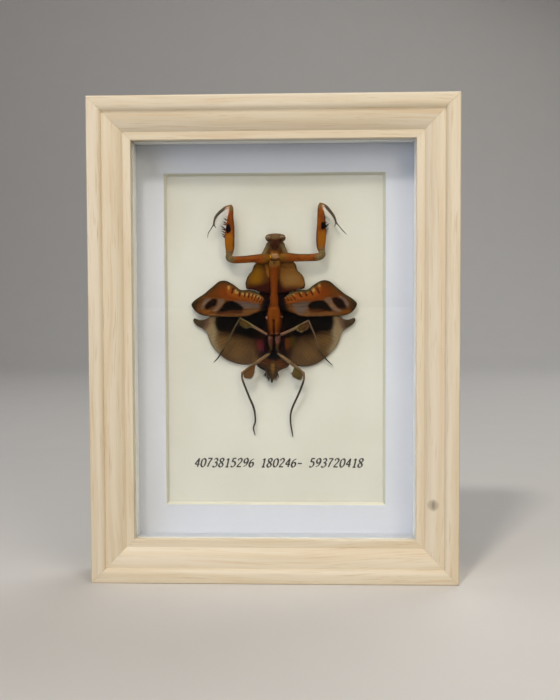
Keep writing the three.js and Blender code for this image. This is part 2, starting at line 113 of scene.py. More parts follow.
def combined(tree, how, a, b):
    return addNode(tree, "Math", {0: a, 1: b}, operation=how).outputs[0]


# place in millimetres: object coordinates are metres here, since every piece sits at the origin
def placeOf(tree, stretch=(1, 1, 1)):
    where = addNode(tree, "TexCoord").outputs["Object"]
    factor = tuple(1 / mm * s for s in stretch)
    return addNode(tree, "Mapping", {"Vector": where, "Scale": factor}).outputs[0]


def setBump(tree, shader, height, depth, strength=1.0):
    bump = addNode(tree, "Bump", {"Height": height, "Distance": depth * mm, "Strength": strength})
    tree.links.new(bump.outputs[0], shader.inputs["Normal"])


def setColour(tree, shader, colour):
    tree.links.new(colour, shader.inputs["Base Color"])


# mesh tools
def newMesh(name, points, faces):
    mesh = bpy.data.meshes.new(name)
    mesh.from_pydata([tuple(p) for p in points], [], faces)
    return mesh


def makePiece(name, points, faces, material, replaced, creaseAngle=None):
    mesh = newMesh(name, points, faces)
    mesh.update()
    mesh.materials.append(material)
    mesh.shade_smooth()
    piece = newObject(name, mesh)
    if creaseAngle is not None:
        shape = bmesh.new()
        shape.from_mesh(mesh)
        bmesh.ops.recalc_face_normals(shape, faces=shape.faces)
        for edge in shape.edges:
            if len(edge.link_faces) == 2 and edge.calc_face_angle() > math.radians(creaseAngle):
                edge.smooth = False
        shape.to_mesh(mesh)
        shape.free()
    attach(piece, "root")
    if replaced:
        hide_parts(*replaced)
    return piece


# one number, or one row of three, for each point of a piece, read by its material
def store(piece, name, values):
    kind, field = ("FLOAT", "value") if np.ndim(values) == 1 else ("FLOAT_VECTOR", "vector")
    layer = piece.data.attributes.new(name, kind, "POINT")
    layer.data.foreach_set(field, np.ascontiguousarray(values, dtype=np.float32).ravel())


# a smooth line through the points, as a centripetal Catmull-Rom curve
def smoothLine(points, perSpan, closed=False):
    given = np.asarray(points, float)
    if closed:
        padded = np.vstack([given[-1:], given, given[:2]])
    else:
        padded = np.vstack([2 * given[0] - given[1], given, 2 * given[-1] - given[-2]])
    t = (np.arange(perSpan) / perSpan)[:, None]
    spans = []
    for p0, p1, p2, p3 in zip(padded, padded[1:], padded[2:], padded[3:]):
        d0, d1, d2 = (max(np.linalg.norm(b - a) ** 0.5, 1e-4) for a, b in ((p0, p1), (p1, p2), (p2, p3)))
        m1 = ((p1 - p0) / d0 - (p2 - p0) / (d0 + d1) + (p2 - p1) / d1) * d1
        m2 = ((p2 - p1) / d1 - (p3 - p1) / (d1 + d2) + (p3 - p2) / d2) * d1
        square, cube = 3 * (p2 - p1) - 2 * m1 - m2, 2 * (p1 - p2) + m1 + m2
        spans.append(p1 + m1 * t + square * t ** 2 + cube * t ** 3)
    line = np.vstack(spans)
    return line if closed else np.vstack([line, given[-1:]])


def closedLine(loop):
    return np.vstack([loop, loop[:1]])


def evenLoop(loop, spacing):
    ring = closedLine(loop)
    length = np.concatenate([[0], np.cumsum(np.linalg.norm(np.diff(ring, axis=0), axis=1))])
    count = max(8, int(length[-1] / spacing))
    at = np.linspace(0, length[-1], count, endpoint=False)
    return np.column_stack([np.interp(at, length, ring[:, i]) for i in range(2)])


# shortest distance in the card's plane from each point to a line of points
def distanceTo(points, line):
    best = np.full(len(points), 1e9)
    for a, b in zip(line, line[1:]):
        along = b - a
        t = np.clip(((points - a) @ along) / max(along @ along, 1e-12), 0, 1)
        best = np.minimum(best, np.linalg.norm(points - a - t[:, None] * along, axis=1))
    return best


def isInside(points, loop):
    inside = np.zeros(len(points), bool)
    for a, b in zip(loop, np.roll(loop, -1, axis=0)):
        crosses = (a[1] > points[:, 1]) != (b[1] > points[:, 1])
        slope = (b[0] - a[0]) / (b[1] - a[1] if b[1] != a[1] else 1e-12)
        inside ^= crosses & (points[:, 0] < a[0] + (points[:, 1] - a[1]) * slope)
    return inside


# how far inside an outline each point is; negative outside
def depthInside(points, outline):
    loop = smoothLine(outline, 5, closed=True)
    distance = distanceTo(points, closedLine(loop))
    return np.where(isInside(points, loop), distance, -distance)


# four-sided faces between rings that each have the same number of points
def ringFaces(rings, sides):
    faces = []
    for i in range(rings - 1):
        for j in range(sides):
            k = (j + 1) % sides
            faces.append((i * sides + j, (i + 1) * sides + j, (i + 1) * sides + k, i * sides + k))
    return faces


# the same with each end closed onto a point; those two points come after the rings
def closedRings(rings, sides):
    faces, first, last = ringFaces(rings, sides), rings * sides, rings * sides + 1
    for j in range(sides):
        k = (j + 1) % sides
        faces += [(first, j, k), (last, (rings - 1) * sides + k, (rings - 1) * sides + j)]
    return faces


# Shells are (points, faces) in the insect's own millimetres: x, z from the pin, h outward from the card.
def tube(stations, flat, sides, perSpan=6):
    thinnest, tipRise = 0.03, 0.01
    line = smoothLine(stations, perSpan)
    centre, radius = line[:, :3], np.maximum(line[:, 3], thinnest)
    tangent = np.gradient(centre, axis=0)
    tangent /= np.linalg.norm(tangent, axis=1)[:, None]
    roundness = np.radians([75, 50, 25])  # the rings that round off each end

    def roundEnd(at, way):
        return [(centre[at] + way * tangent[at] * radius[at] * math.sin(a) * min(flat, 1),
                 radius[at] * math.cos(a), tangent[at]) for a in roundness]

    rings = roundEnd(0, -1) + list(zip(centre, radius, tangent)) + roundEnd(-1, 1)[::-1]
    turn = np.linspace(0, 2 * math.pi, sides, endpoint=False)
    points = []
    for middle, size, direction in rings:
        across = np.cross(direction, (0, 0, 1))
        across /= max(np.linalg.norm(across), 1e-9)
        up = np.cross(across, direction)
        points.append(middle + size * (np.outer(np.cos(turn), across) + flat * np.outer(np.sin(turn), up)))
    for (middle, _, direction), way in ((rings[0], -1), (rings[-1], 1)):
        points.append((middle + way * direction * tipRise)[None])
    return np.vstack(points), closedRings(len(rings), sides)


def ball(x, z, h, radiusX, radiusZ, radiusH, around=28, rings=16):
    tilt = np.linspace(0, math.pi, rings + 1)[1:-1]
    turn = np.linspace(0, 2 * math.pi, around, endpoint=False)
    points = [(math.sin(a) * math.cos(b), math.sin(a) * math.sin(b), math.cos(a)) for a in tilt for b in turn]
    points += [(0, 0, 1), (0, 0, -1)]
    return np.array(points) * (radiusX, radiusZ, radiusH) + (x, z, h), closedRings(rings - 1, around)


# a thin closed plate: front and back give its two heights from x, z and the distance to its edge
def leaf(outline, spacing, front, back):
    rowStep, clearance = spacing * 0.866, spacing * 0.6  # rows of even triangles, kept off the rim
    rim = evenLoop(smoothLine(outline, 10, closed=True), spacing)
    rimLine = closedLine(rim)
    low, high = rim.min(0), rim.max(0)
    grid = np.array([(x + (i % 2) * spacing / 2, z) for i, z in enumerate(np.arange(low[1], high[1], rowStep))
                     for x in np.arange(low[0], high[0], spacing)])
    grid = grid[isInside(grid, rim)]
    grid = grid[distanceTo(grid, rimLine) > clearance]
    flat = [Vector(p) for p in np.vstack([rim, grid])]
    ring = [(i, (i + 1) % len(rim)) for i in range(len(rim))]
    made = geometry.delaunay_2d_cdt(flat, ring, [], 1, 1e-6)
    points, triangles = np.array([tuple(p) for p in made[0]]), np.array([tuple(f) for f in made[2]])
    a, b, c = (points[triangles[:, i]] for i in range(3))
    turned = (b[:, 0] - a[:, 0]) * (c[:, 1] - a[:, 1]) - (b[:, 1] - a[:, 1]) * (c[:, 0] - a[:, 0]) < 0
    triangles[turned] = triangles[turned][:, ::-1]
    edge = distanceTo(points, rimLine)
    onRim = edge < 1e-4
    x, z = points[:, 0], points[:, 1]
    over, under = front(x, z, edge), back(x, z, edge)
    middle = (over + under) / 2
    over, under = np.where(onRim, middle, over), np.where(onRim, middle, under)
    backIndex = np.where(onRim, np.arange(len(points)), len(points) + np.cumsum(~onRim) - 1)
    shell = np.vstack([np.column_stack([x, z, over]), np.column_stack([x, z, under])[~onRim]])
    backFaces = backIndex[triangles[:, ::-1]]
    return shell, [tuple(t) for t in triangles.tolist() + backFaces.tolist()]


def joinShells(shells):
    points, faces, start = [], [], 0
    for shellPoints, shellFaces in shells:
        points.append(shellPoints)
        faces += [tuple(i + start for i in face) for face in shellFaces]
        start += len(shellPoints)
    return np.vstack(points), faces


# melts overlapping shells into one skin
def fuse(shells, voxel, smoothing):
    mesh = newMesh("fusing", *joinShells(shells))
    piece = newObject("fusing", mesh)
    melt = piece.modifiers.new("melt", "REMESH")
    melt.mode = "VOXEL"
    melt.voxel_size = voxel
    soften = piece.modifiers.new("soften", "SMOOTH")
    soften.factor = 0.5
    soften.iterations = smoothing
    result = piece.evaluated_get(bpy.context.evaluated_depsgraph_get()).to_mesh()
    skin = np.zeros(len(result.vertices) * 3)
    result.vertices.foreach_get("co", skin)
    skinFaces = [tuple(p.vertices) for p in result.polygons]
    bpy.data.objects.remove(piece)
    bpy.data.meshes.remove(mesh)
    return skin.reshape(-1, 3), skinFaces


def normalsOf(points, faces):
    corners = np.array([f if len(f) == 4 else (*f, f[2]) for f in faces])
    a, b, c, d = (points[corners[:, i]] for i in range(4))
    across = np.cross(c - a, d - b)
    sums = np.zeros_like(points)
    for i in range(4):
        np.add.at(sums, corners[:, i], across)
    return sums / np.maximum(np.linalg.norm(sums, axis=1), 1e-12)[:, None]


# presses a groove along a line into the side that faces out; a negative depth raises a ridge
def carve(shell, lines, width, depth):
    points, faces = shell
    facing = np.clip(normalsOf(points, faces)[:, 2] * 2, 0, 1)
    near = np.min([distanceTo(points[:, :2], np.asarray(line, float)) for line in lines], axis=0)
    moved = points.copy()
    moved[:, 2] -= depth * facing * np.exp(-((near / width) ** 2))
    return moved, faces


# slow uneven swelling, as a few crossing waves; size is the wave length
def swell(points, size, amount, seed):
    waves, waveCount = np.random.default_rng(seed), 7
    total = np.zeros(len(points))
    for _ in range(waveCount):
        direction = waves.normal(size=3)
        direction /= np.linalg.norm(direction)
        perLength = 2 * math.pi / (size * waves.uniform(0.6, 1.6))
        total += np.sin(points @ direction * perLength + waves.uniform(0, 6.28))
    return total * amount / waveCount ** 0.5


def roughened(shell, size, amount, seed):
    points, faces = shell
    return points + normalsOf(points, faces) * swell(points, size, amount, seed)[:, None], faces


def toWorld(points):
    return np.column_stack([points[:, 0], cardFront - points[:, 2], pinHeight + points[:, 1]]) * mm


# a mark is a coloured area: its colour, the softness of its edge, its strength and its outlines
def newMark(name, colour, soft, strength, *outlines):
    return {"name": name, "colour": colour, "soft": soft, "strength": strength, "outlines": outlines}


# stands for one CAD node; side is given where the outlines count outward from the body's axis
def insectPiece(node, shell, material, marks, side=None):
    points, faces = shell
    piece = makePiece("mantis_" + node, toWorld(points), faces, material, (node,))
    flat = points[:, :2].copy()
    if side:
        flat[:, 0] = side * (flat[:, 0] - bodyAxis)
    for mark in marks:
        depths = [depthInside(flat, outline) for outline in mark["outlines"]]
        store(piece, mark["name"], np.max(depths, axis=0))
    return piece


# Each mark is stored on the mesh as the depth inside its outline, and its edge is drawn here.
def paintMarks(tree, colour, marks, wobble):
    wander = 0.25  # how far a mark's edge strays from its outline
    for mark in marks:
        depth = addNode(tree, "Attribute", attribute_name=mark["name"]).outputs["Fac"]
        shaken = combined(tree, "ADD", depth, ranged(tree, wobble, 0.3, 0.7, -wander, wander))
        cover = ranged(tree, shaken, -mark["soft"], mark["soft"], 0, mark["strength"])
        colour = blended(tree, cover, colour, mark["colour"])
    return colour


# Camera, solved from the frame's four corners and the sight edge's on the 560 by 700 picture
camera = {
    "place": (19.11, -445.26, 122.27),
    "pitch": -2.713,
    "roll": 0.206,
    "yaw": 2.144,
    "focalPixels": 1000,
    "picturePixels": 700,
    "sensor": 36,
}
eye = newObject("camera", bpy.data.cameras.new("camera"))
eye.data.lens = camera["sensor"] * camera["focalPixels"] / camera["picturePixels"]
eye.data.sensor_width = camera["sensor"]
eye.location = [v * mm for v in camera["place"]]
eye.rotation_euler = [math.radians(v) for v in (90 + camera["pitch"], camera["roll"], camera["yaw"])]
eye.data.clip_start = 0.01
scene.camera = eye

# Lights: a warm key above and to the left that throws the rail's shadow, and wide soft fills.
# No fill stands where the glass would mirror it into the camera. Distances and sizes are in metres.
lights = {
    "key": {"turn": -16, "rise": 49, "away": 1.4, "size": 0.15, "power": 6.6, "tint": "#fff6ea"},
    "rightFill": {"turn": 30, "rise": 22, "away": 1.1, "size": 0.5, "power": 2.8, "tint": "#fff0da"},
    "leftFill": {"turn": -44, "rise": 8, "away": 1.6, "size": 0.9, "power": 5.5, "tint": "#dfe7ff"},
    "topFill": {"turn": 15, "rise": 66, "away": 1.7, "size": 1.5, "power": 6.4, "tint": "#f6f6fc"},
    "backFill": {"turn": 150, "rise": 48, "away": 1.9, "size": 1.3, "power": 11.0, "tint": "#ffffff"},
}
lightTarget = Vector((0, 0, 0.11))  # about the frame's middle
for name, light in lights.items():
    turn, rise = math.radians(light["turn"]), math.radians(light["rise"])
    lamp = newObject(name, bpy.data.lights.new(name, "AREA"))
    lamp.data.shape = "DISK"
    lamp.data.size = light["size"]
    lamp.data.energy = light["power"]
    lamp.data.color = hexColour(light["tint"])[:3]
    offset = Vector((math.sin(turn) * math.cos(rise), -math.cos(turn) * math.cos(rise), math.sin(rise)))
    lamp.location = lightTarget + offset * light["away"]
    lamp.rotation_euler = (-offset).to_track_quat("-Z", "Y").to_euler()
room = {"tint": (0.92, 0.95, 1.0, 1), "strength": 0.02}
world = bpy.data.worlds.new("studio")
world.use_nodes = True
world.node_tree.nodes["Background"].inputs[0].default_value = room["tint"]
world.node_tree.nodes["Background"].inputs[1].default_value = room["strength"]
scene.world = world
scene.view_settings.view_transform = "Standard"


# Floor: one pale sweep that rises far behind the frame, in metres
stage = {
    "halfWidth": 12.0,
    "front": -24.0,
    "bend": 1.4,
    "bendRadius": 0.6,
    "rise": 2.4,
    "colour": "#dcdad6",
    "mottle": "#e0deda",
}


def makeStage():
    radius = stage["bendRadius"]
    profile = [(stage["front"], 0), (stage["bend"], 0)]
    for turn in np.radians(range(10, 91, 10)):
        profile.append((stage["bend"] + radius * math.sin(turn), radius * (1 - math.cos(turn))))
    profile.append((profile[-1][0], stage["rise"]))
    points = [(x, y, z) for x in (-stage["halfWidth"], stage["halfWidth"]) for y, z in profile]
    count = len(profile)
    mesh = newMesh("floor", points, [(i, i + count, i + count + 1, i + 1) for i in range(count - 1)])
    mesh.shade_smooth()
    floor = newObject("floor", mesh)
    paint, tree, shader = newMaterial("matt studio paper", {"Roughness": 0.85})
    grain = noiseAt(tree, placeOf(tree), 0.02, 2)
    setColour(tree, shader, blended(tree, grain, stage["colour"], stage["mottle"]))
    mesh.materials.append(paint)
    floor.visible_glossy = False  # or the glass would mirror its far edge across the card


makeStage()
print("camera, lights and floor made")

# Box frame
# Bleached softwood, planed and waxed: pale straw with long fine streaks and a soft sheen on the edges.
wood = {
    "pale": "#f1e5cc",
    "deep": "#e8d8b9",
    "streak": "#d3bb95",
    "warm": "#dfc297",
    "knot": "#77664f",
    "figureWidth": 5.0,  # mm between the broad bands of the grain
    "figureLength": 160.0,
    "poreWidth": 0.6,  # real pores are 0.1 mm, drawn coarser to show
    "poreLength": 24.0,
    "wander": 7,  # how far the grain strays sideways
    "knotPlace": (10.9, 486.6),  # across and along the right rail, whose grain starts at 310
    "knotRings": [(1, 1.1, 1.5, 3.1, 0.38), (2.1, 1, 0.5, 2.2, 0.5)],  # two squeezes, heart, rim, cover
}


def frameWood():
    made, tree, shader = newMaterial("bleached softwood, waxed", {"Roughness": 0.46})
    grain = addNode(tree, "Attribute", attribute_name="grain").outputs["Vector"]
    bend = addNode(tree, "Mapping", {"Vector": grain, "Scale": (0.02, 0.02, 0.012)}).outputs[0]
    drift = addNode(tree, "TexNoise", {"Vector": bend, "Scale": 1.0, "Detail": 1.0}).outputs["Color"]
    sideways = {0: drift, 1: (wood["wander"], wood["wander"], 0), 2: grain}
    moved = addNode(tree, "VectorMath", sideways, operation="MULTIPLY_ADD").outputs[0]

    # noise in cells of a given width and length along the grain
    def streaks(width, length, detail, roughness):
        cells = {"Vector": moved, "Scale": (1 / width, 1 / width, 1 / length)}
        return noiseAt(tree, addNode(tree, "Mapping", cells).outputs[0], 1.0, detail, roughness)

    figure = streaks(wood["figureWidth"], wood["figureLength"], 4, 0.55)
    poreCover = ranged(tree, streaks(wood["poreWidth"], wood["poreLength"], 2, 0.6), 0.54, 0.78, 0, 0.7)
    patches = {"Vector": moved, "Location": (31, 5, 2), "Scale": (0.5, 0.5, 0.012)}
    warmth = noiseAt(tree, addNode(tree, "Mapping", patches).outputs[0], 1.0, 2)
    colour = blended(tree, ranged(tree, figure, 0.36, 0.64), wood["pale"], wood["deep"])
    colour = blended(tree, ranged(tree, warmth, 0.58, 0.72, 0, 0.4), colour, wood["warm"])
    colour = blended(tree, poreCover, colour, wood["streak"])
    across, along = wood["knotPlace"]
    for narrow, high, heart, rim, cover in wood["knotRings"]:
        squeezed = addNode(tree, "Mapping", {"Vector": grain, "Scale": (narrow, 0, high)}).outputs[0]
        ends = {0: squeezed, 1: (narrow * across, 0, high * along)}
        away = addNode(tree, "VectorMath", ends, operation="DISTANCE").outputs["Value"]
        knotEdge = combined(tree, "ADD", away, ranged(tree, figure, 0.3, 0.7, -0.4, 0.4))
        colour = blended(tree, ranged(tree, knotEdge, rim, heart, 0, cover), colour, wood["knot"])
    setColour(tree, shader, colour)
    relief = combined(tree, "SUBTRACT", combined(tree, "MULTIPLY", figure, 0.3), poreCover)
    setBump(tree, shader, relief, 0.06, 0.5)
    return made


moulding = {
    "landWidth": 3.8,
    "stepFoot": 6.3,
    "stepDrop": 2.1,
    "cove": (0.4, 0.1),
    "bow": [(8.6, 1.8), (12.6, 2.9)],  # the middle's curve is drawn towards these
    "lipStart": 14.8,
    "lipRecess": 5.5,
    "width": 18.2,
    "lipBack": 9.0,
    "rebate": 13.2,
    "depth": 32.0,
    "edgeRound": 0.8,
    "cornerRound": 0.35,
    "mitreGap": 0.04,
    "stations": 16,  # along each rail
    "grainStart": {"rail_left": 0, "rail_right": 310, "rail_bottom": 640, "rail_top": 910},
}


def bezier(points, count):
    t = np.linspace(0, 1, count + 1)[1:, None]
    u = 1 - t
    p = [np.array(q, float) for q in points]
    if len(p) == 3:
        return (u ** 2 * p[0] + 2 * t * u * p[1] + t * t * p[2]).tolist()
    return (u ** 3 * p[0] + 3 * t * u ** 2 * p[1] + 3 * t * t * u * p[2] + t ** 3 * p[3]).tolist()


# the section as (across from the outer face, back from the front)
def mouldingSection():
    m = moulding
    rounded, soft, width, depth = m["edgeRound"], m["cornerRound"], m["width"], m["depth"]
    foot, lip = (m["stepFoot"], m["stepDrop"]), (m["lipStart"], m["lipRecess"])
    section = [[0, rounded]]
    section += bezier([(0, rounded), (0, 0), (rounded, 0)], 5)
    section += [[m["landWidth"], 0]]
    section += bezier([(m["landWidth"], 0), (foot[0] - m["cove"][0], m["cove"][1]), foot], 8)
    section += bezier([foot, *m["bow"], lip], 14)
    section += [[width - soft, lip[1]]]
    section += bezier([(width - soft, lip[1]), (width, lip[1]), (width, lip[1] + soft)], 4)
    section += [[width, m["lipBack"]], [m["rebate"], m["lipBack"]], [m["rebate"], depth], [soft, depth]]
    section += bezier([(soft, depth), (0, depth), (0, depth - soft)], 4)
    return np.array(section)


def makeRails():
    material = frameWood()
    section = mouldingSection()
    across, back = section[:, 0], section[:, 1]
    count, stations = len(section), moulding["stations"]
    width, height = 2 * frameHalf, frameTop
    rails = {
        "rail_left": (height, lambda a, s: (-frameHalf + a, s)),
        "rail_right": (height, lambda a, s: (frameHalf - a, height - s)),
        "rail_bottom": (width, lambda a, s: (frameHalf - s, a)),
        "rail_top": (width, lambda a, s: (-frameHalf + s, height - a)),
    }
    for name, (length, place) in rails.items():
        points, grain = [], []
        start, end = across + moulding["mitreGap"], length - across - moulding["mitreGap"]
        for k in range(stations):
            along = start + (end - start) * (k / (stations - 1))
            x, z = place(across, along)
            points.append(np.column_stack([x, frameFront + back, z]) * mm)
            grain.append(np.column_stack([across, back, along + moulding["grainStart"][name]]))
        faces = [tuple(range(count)), tuple((stations - 1) * count + i for i in range(count))[::-1]]
        faces += ringFaces(stations, count)
        woodName = name.replace("_", "_wood_")
        rail = makePiece(woodName, np.vstack(points), faces, material, (name,), 32)
        store(rail, "grain", np.vstack(grain))


makeRails()
print("wooden rails made")


# Float glass: clear with a faint green cast, its shadow left out so that lamps reach the insect
def glassMaterial():
    clear = {"Roughness": 0.01, "IOR": 1.5, "Transmission Weight": 1.0, "Base Color": hexColour("#fbfefd")}
    return newMaterial("float glass, polished", clear)[0]


# Mat board: white cotton paper, faintly cool, with a barely visible tooth
def matMaterial():
    made, tree, shader = newMaterial("white cotton mat board", {"Roughness": 0.88})
    place = placeOf(tree)
    tone = noiseAt(tree, place, 0.03, 3)
    tooth = noiseAt(tree, place, 3.0, 3, 0.6)  # paper tooth is 0.1 mm, drawn at 0.3 mm
    facing = addNode(tree, "SeparateXYZ", {0: addNode(tree, "NewGeometry").outputs["Normal"]}).outputs["Y"]
    colour = blended(tree, tone, "#c4c7d0", "#cccfd8")
    bevel = ranged(tree, facing, -0.95, -0.85)  # its cut shows the board's core
    setColour(tree, shader, blended(tree, bevel, colour, "#bfbdad"))
    setBump(tree, shader, tooth, 0.03, 0.6)
    return made


# Card: uncoated cream stock, slightly mottled with fibres
def cardMaterial():
    made, tree, shader = newMaterial("cream card, uncoated", {"Roughness": 0.82})
    place = placeOf(tree)
    tone = noiseAt(tree, place, 0.02, 3)
    fibre = noiseAt(tree, placeOf(tree, (1.0, 1, 2.2)), 1.6, 5, 0.7)
    colour = blended(tree, ranged(tree, tone, 0.35, 0.65), "#cbcac0", "#c6c4b8")
    colour = blended(tree, ranged(tree, fibre, 0.55, 0.8, 0, 0.25), colour, "#c4bfab")
    setColour(tree, shader, colour)
    setBump(tree, shader, fibre, 0.03, 0.5)
    return made


# Foam strip and board: white skin with a fine pitted cut edge, greyed where it faces up as painted shade
def foamMaterial():
    made, tree, shader = newMaterial("white foam board, cut", {"Roughness": 0.75})
    place = placeOf(tree)
    pits = addNode(tree, "TexVoronoi", {"Vector": place, "Scale": 1.4}).outputs["Distance"]
    tone = noiseAt(tree, place, 0.12, 3)
    rising = addNode(tree, "SeparateXYZ", {0: addNode(tree, "NewGeometry").outputs["Normal"]}).outputs["Z"]
    colour = blended(tree, tone, "#e3e2dc", "#ecebe6")
    # painted shade: faces that point up are greyed
    setColour(tree, shader, blended(tree, ranged(tree, rising, 0.6, 0.9), colour, "#adb1b9"))
    setBump(tree, shader, pits, 0.05, 0.35)
    return made


# Hardboard: pressed wood fibre, brown, smooth side out with darker fibre bundles
def hardboardMaterial():
    made, tree, shader = newMaterial("hardboard, pressed smooth", {"Roughness": 0.5})
    place = placeOf(tree)
    cloud = noiseAt(tree, place, 0.05, 4)
    fibre = noiseAt(tree, placeOf(tree, (0.4, 1, 1.4)), 1.2, 6, 0.75)
    colour = blended(tree, ranged(tree, cloud, 0.35, 0.65), "#8a6443", "#755336")
    colour = blended(tree, ranged(tree, fibre, 0.5, 0.75, 0, 0.7), colour, "#573a24")
    setColour(tree, shader, colour)
    setBump(tree, shader, fibre, 0.06, 0.5)
    return made


# Zinc-plated steel strip and brassed steel: rolled, with fine lines along the strip and dull patches
def stripMetal(name, light, dark, roughness):
    made, tree, shader = newMaterial(name, {"Metallic": 1.0})
    lines = noiseAt(tree, placeOf(tree, (0.2, 1, 6)), 1.5, 4, 0.7)
    dull = noiseAt(tree, placeOf(tree), 0.35, 4, 0.6)
    setColour(tree, shader, blended(tree, ranged(tree, dull, 0.35, 0.7), light, dark))
    tree.links.new(ranged(tree, dull, 0.3, 0.75, roughness, roughness + 0.25), shader.inputs["Roughness"])
    setBump(tree, shader, lines, 0.02, 0.5)
    return made


def dressNodes():
    looks = {
        matMaterial(): ["window_mat"],
        cardMaterial(): ["backing_card"],
        foamMaterial(): ["spacer_top", "spacer_bottom", "spacer_left", "spacer_right", "foam_board"],
        hardboardMaterial(): ["back_board"],
        glassMaterial(): ["glass_pane"],
    }
    for look, names in looks.items():
        for name in names:
            cadNodes[name].data.materials.clear()
            cadNodes[name].data.materials.append(look)
    cadNodes["glass_pane"].visible_shadow = False


dressNodes()


# small fittings get softened edges: a bevelled copy stands for each CAD node
def softenedCopy(name, material, bevel):
    shape = bmesh.new()
    corners = [shape.verts.new(v.co) for v in cadNodes[name].data.vertices]
    for face in cadNodes[name].data.polygons:
        shape.faces.new([corners[i] for i in face.vertices])
    bmesh.ops.remove_doubles(shape, verts=shape.verts, dist=1e-6)
    bmesh.ops.dissolve_limit(shape, angle_limit=math.radians(2), verts=shape.verts, edges=shape.edges)
    sharp = [e for e in shape.edges if len(e.link_faces) == 2 and e.calc_face_angle() > math.radians(30)]
    bmesh.ops.bevel(shape, geom=sharp, offset=bevel * mm, segments=2, profile=0.6, affect="EDGES",
                    clamp_overlap=True)
    mesh = bpy.data.meshes.new(name + "_soft")
    shape.to_mesh(mesh)
    shape.free()
    mesh.materials.append(material)
    mesh.shade_smooth()
    piece = newObject(name + "_soft", mesh)
    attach(piece, "root")
    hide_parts(name)


zinc = stripMetal("zinc-plated steel, rolled", "#b4b6b8", "#85878a", 0.32)
brass = stripMetal("brassed steel, pressed", "#cdb26c", "#a58a4a", 0.28)
for index in range(1, 7):
    softenedCopy(f"retaining_tab_{index}", zinc, 0.08)
for name in ("hanger_plate", "hanger_nail_left", "hanger_nail_right"):
    softenedCopy(name, brass, 0.1)
print("glass, mats, back and fittings dressed")

# Row of plain numerals on the card, in a slanted broad-nib hand
caption = {
    "text": "4073815296 180246- 593720418",
    "left": -37.0,
    "base": 47.9,  # above the foot
    "height": 3.9,
    "advance": 2.74,
    "breadth": 0.98,  # of a numeral, as a share of its height
    "slant": 0.24,
    "thick": 0.86,
    "thin": 0.34,
    "nib": 30,  # degrees that the pen is held at
    "filmDepth": 0.02,
}
numerals = {
    "0": [[(0.28, 1), (0.08, 0.82), (0.03, 0.5), (0.08, 0.18), (0.28, 0), (0.48, 0.18), (0.53, 0.5),
           (0.48, 0.82), (0.28, 1)]],
    "1": [[(0.1, 0.8), (0.32, 1)], [(0.32, 1), (0.32, 0)], [(0.14, 0), (0.5, 0)]],
    "2": [[(0.05, 0.76), (0.12, 0.94), (0.3, 1), (0.48, 0.85), (0.44, 0.62), (0.22, 0.3), (0.04, 0.02)],
          [(0.03, 0.03), (0.54, 0.03)]],
    "3": [[(0.05, 0.86), (0.25, 1), (0.45, 0.86), (0.4, 0.64), (0.2, 0.54)],
          [(0.2, 0.54), (0.43, 0.46), (0.5, 0.25), (0.35, 0.03), (0.15, 0), (0.02, 0.12)]],
    "4": [[(0.4, 0), (0.4, 1)], [(0.4, 1), (0.02, 0.32)], [(0.02, 0.32), (0.56, 0.32)]],
    "5": [[(0.5, 1), (0.15, 1)], [(0.15, 1), (0.1, 0.58)],
          [(0.1, 0.58), (0.28, 0.63), (0.48, 0.46), (0.46, 0.18), (0.25, 0), (0.03, 0.1)]],
    "6": [[(0.46, 0.96), (0.2, 0.8), (0.06, 0.5), (0.05, 0.22), (0.22, 0), (0.42, 0.08), (0.5, 0.3),
           (0.38, 0.52), (0.2, 0.5), (0.07, 0.33)]],
    "7": [[(0.02, 0.99), (0.52, 0.99)], [(0.52, 0.99), (0.3, 0.6), (0.16, 0)]],
    "8": [[(0.27, 0.54), (0.08, 0.72), (0.12, 0.95), (0.28, 1), (0.45, 0.9), (0.44, 0.7), (0.27, 0.54),
           (0.1, 0.4), (0.03, 0.18), (0.2, 0), (0.42, 0.06), (0.48, 0.28), (0.27, 0.54)]],
    "9": [[(0.1, 0.04), (0.36, 0.2), (0.5, 0.5), (0.51, 0.78), (0.34, 1), (0.14, 0.92), (0.06, 0.7),
           (0.18, 0.48), (0.36, 0.5), (0.49, 0.67)]],
    "-": [[(0.02, 0.42), (0.5, 0.42)]],
}


def inkMaterial():
    made, tree, shader = newMaterial("black printing ink on card", {"Roughness": 0.55})
    place = placeOf(tree)
    wear = noiseAt(tree, place, 2.5, 4, 0.6)
    setColour(tree, shader, blended(tree, ranged(tree, wear, 0.45, 0.8), "#060502", "#221f17"))
    setBump(tree, shader, wear, 0.01, 0.3)
    return made


def penStroke(line):
    c = caption
    step = np.gradient(line, axis=0)
    step /= np.maximum(np.linalg.norm(step, axis=1), 1e-9)[:, None]
    nib = math.radians(c["nib"])
    press = np.abs(step[:, 0] * math.sin(nib) - step[:, 1] * math.cos(nib))
    half = (c["thin"] + (c["thick"] - c["thin"]) * press)[:, None] / 2
    aside = np.column_stack([-step[:, 1], step[:, 0]])
    left, right = line + aside * half, line - aside * half
    flat = np.vstack([left, right])
    count = len(line)
    front = cardFront - c["filmDepth"]
    points = [(x, front, z) for x, z in flat] + [(x, cardFront, z) for x, z in flat]
    faces = []
    for i in range(count - 1):
        a, b, d, e = i, i + 1, count + i, count + i + 1
        faces.append((d, e, b, a))
        faces.append((2 * count + a, 2 * count + b, 2 * count + e, 2 * count + d))
        faces.append((a, b, 2 * count + b, 2 * count + a))
        faces.append((2 * count + d, 2 * count + e, e, d))
    faces.append((0, 2 * count, 3 * count, count))
    faces.append((2 * count - 1, 4 * count - 1, 3 * count - 1, count - 1))
    return np.array(points), faces


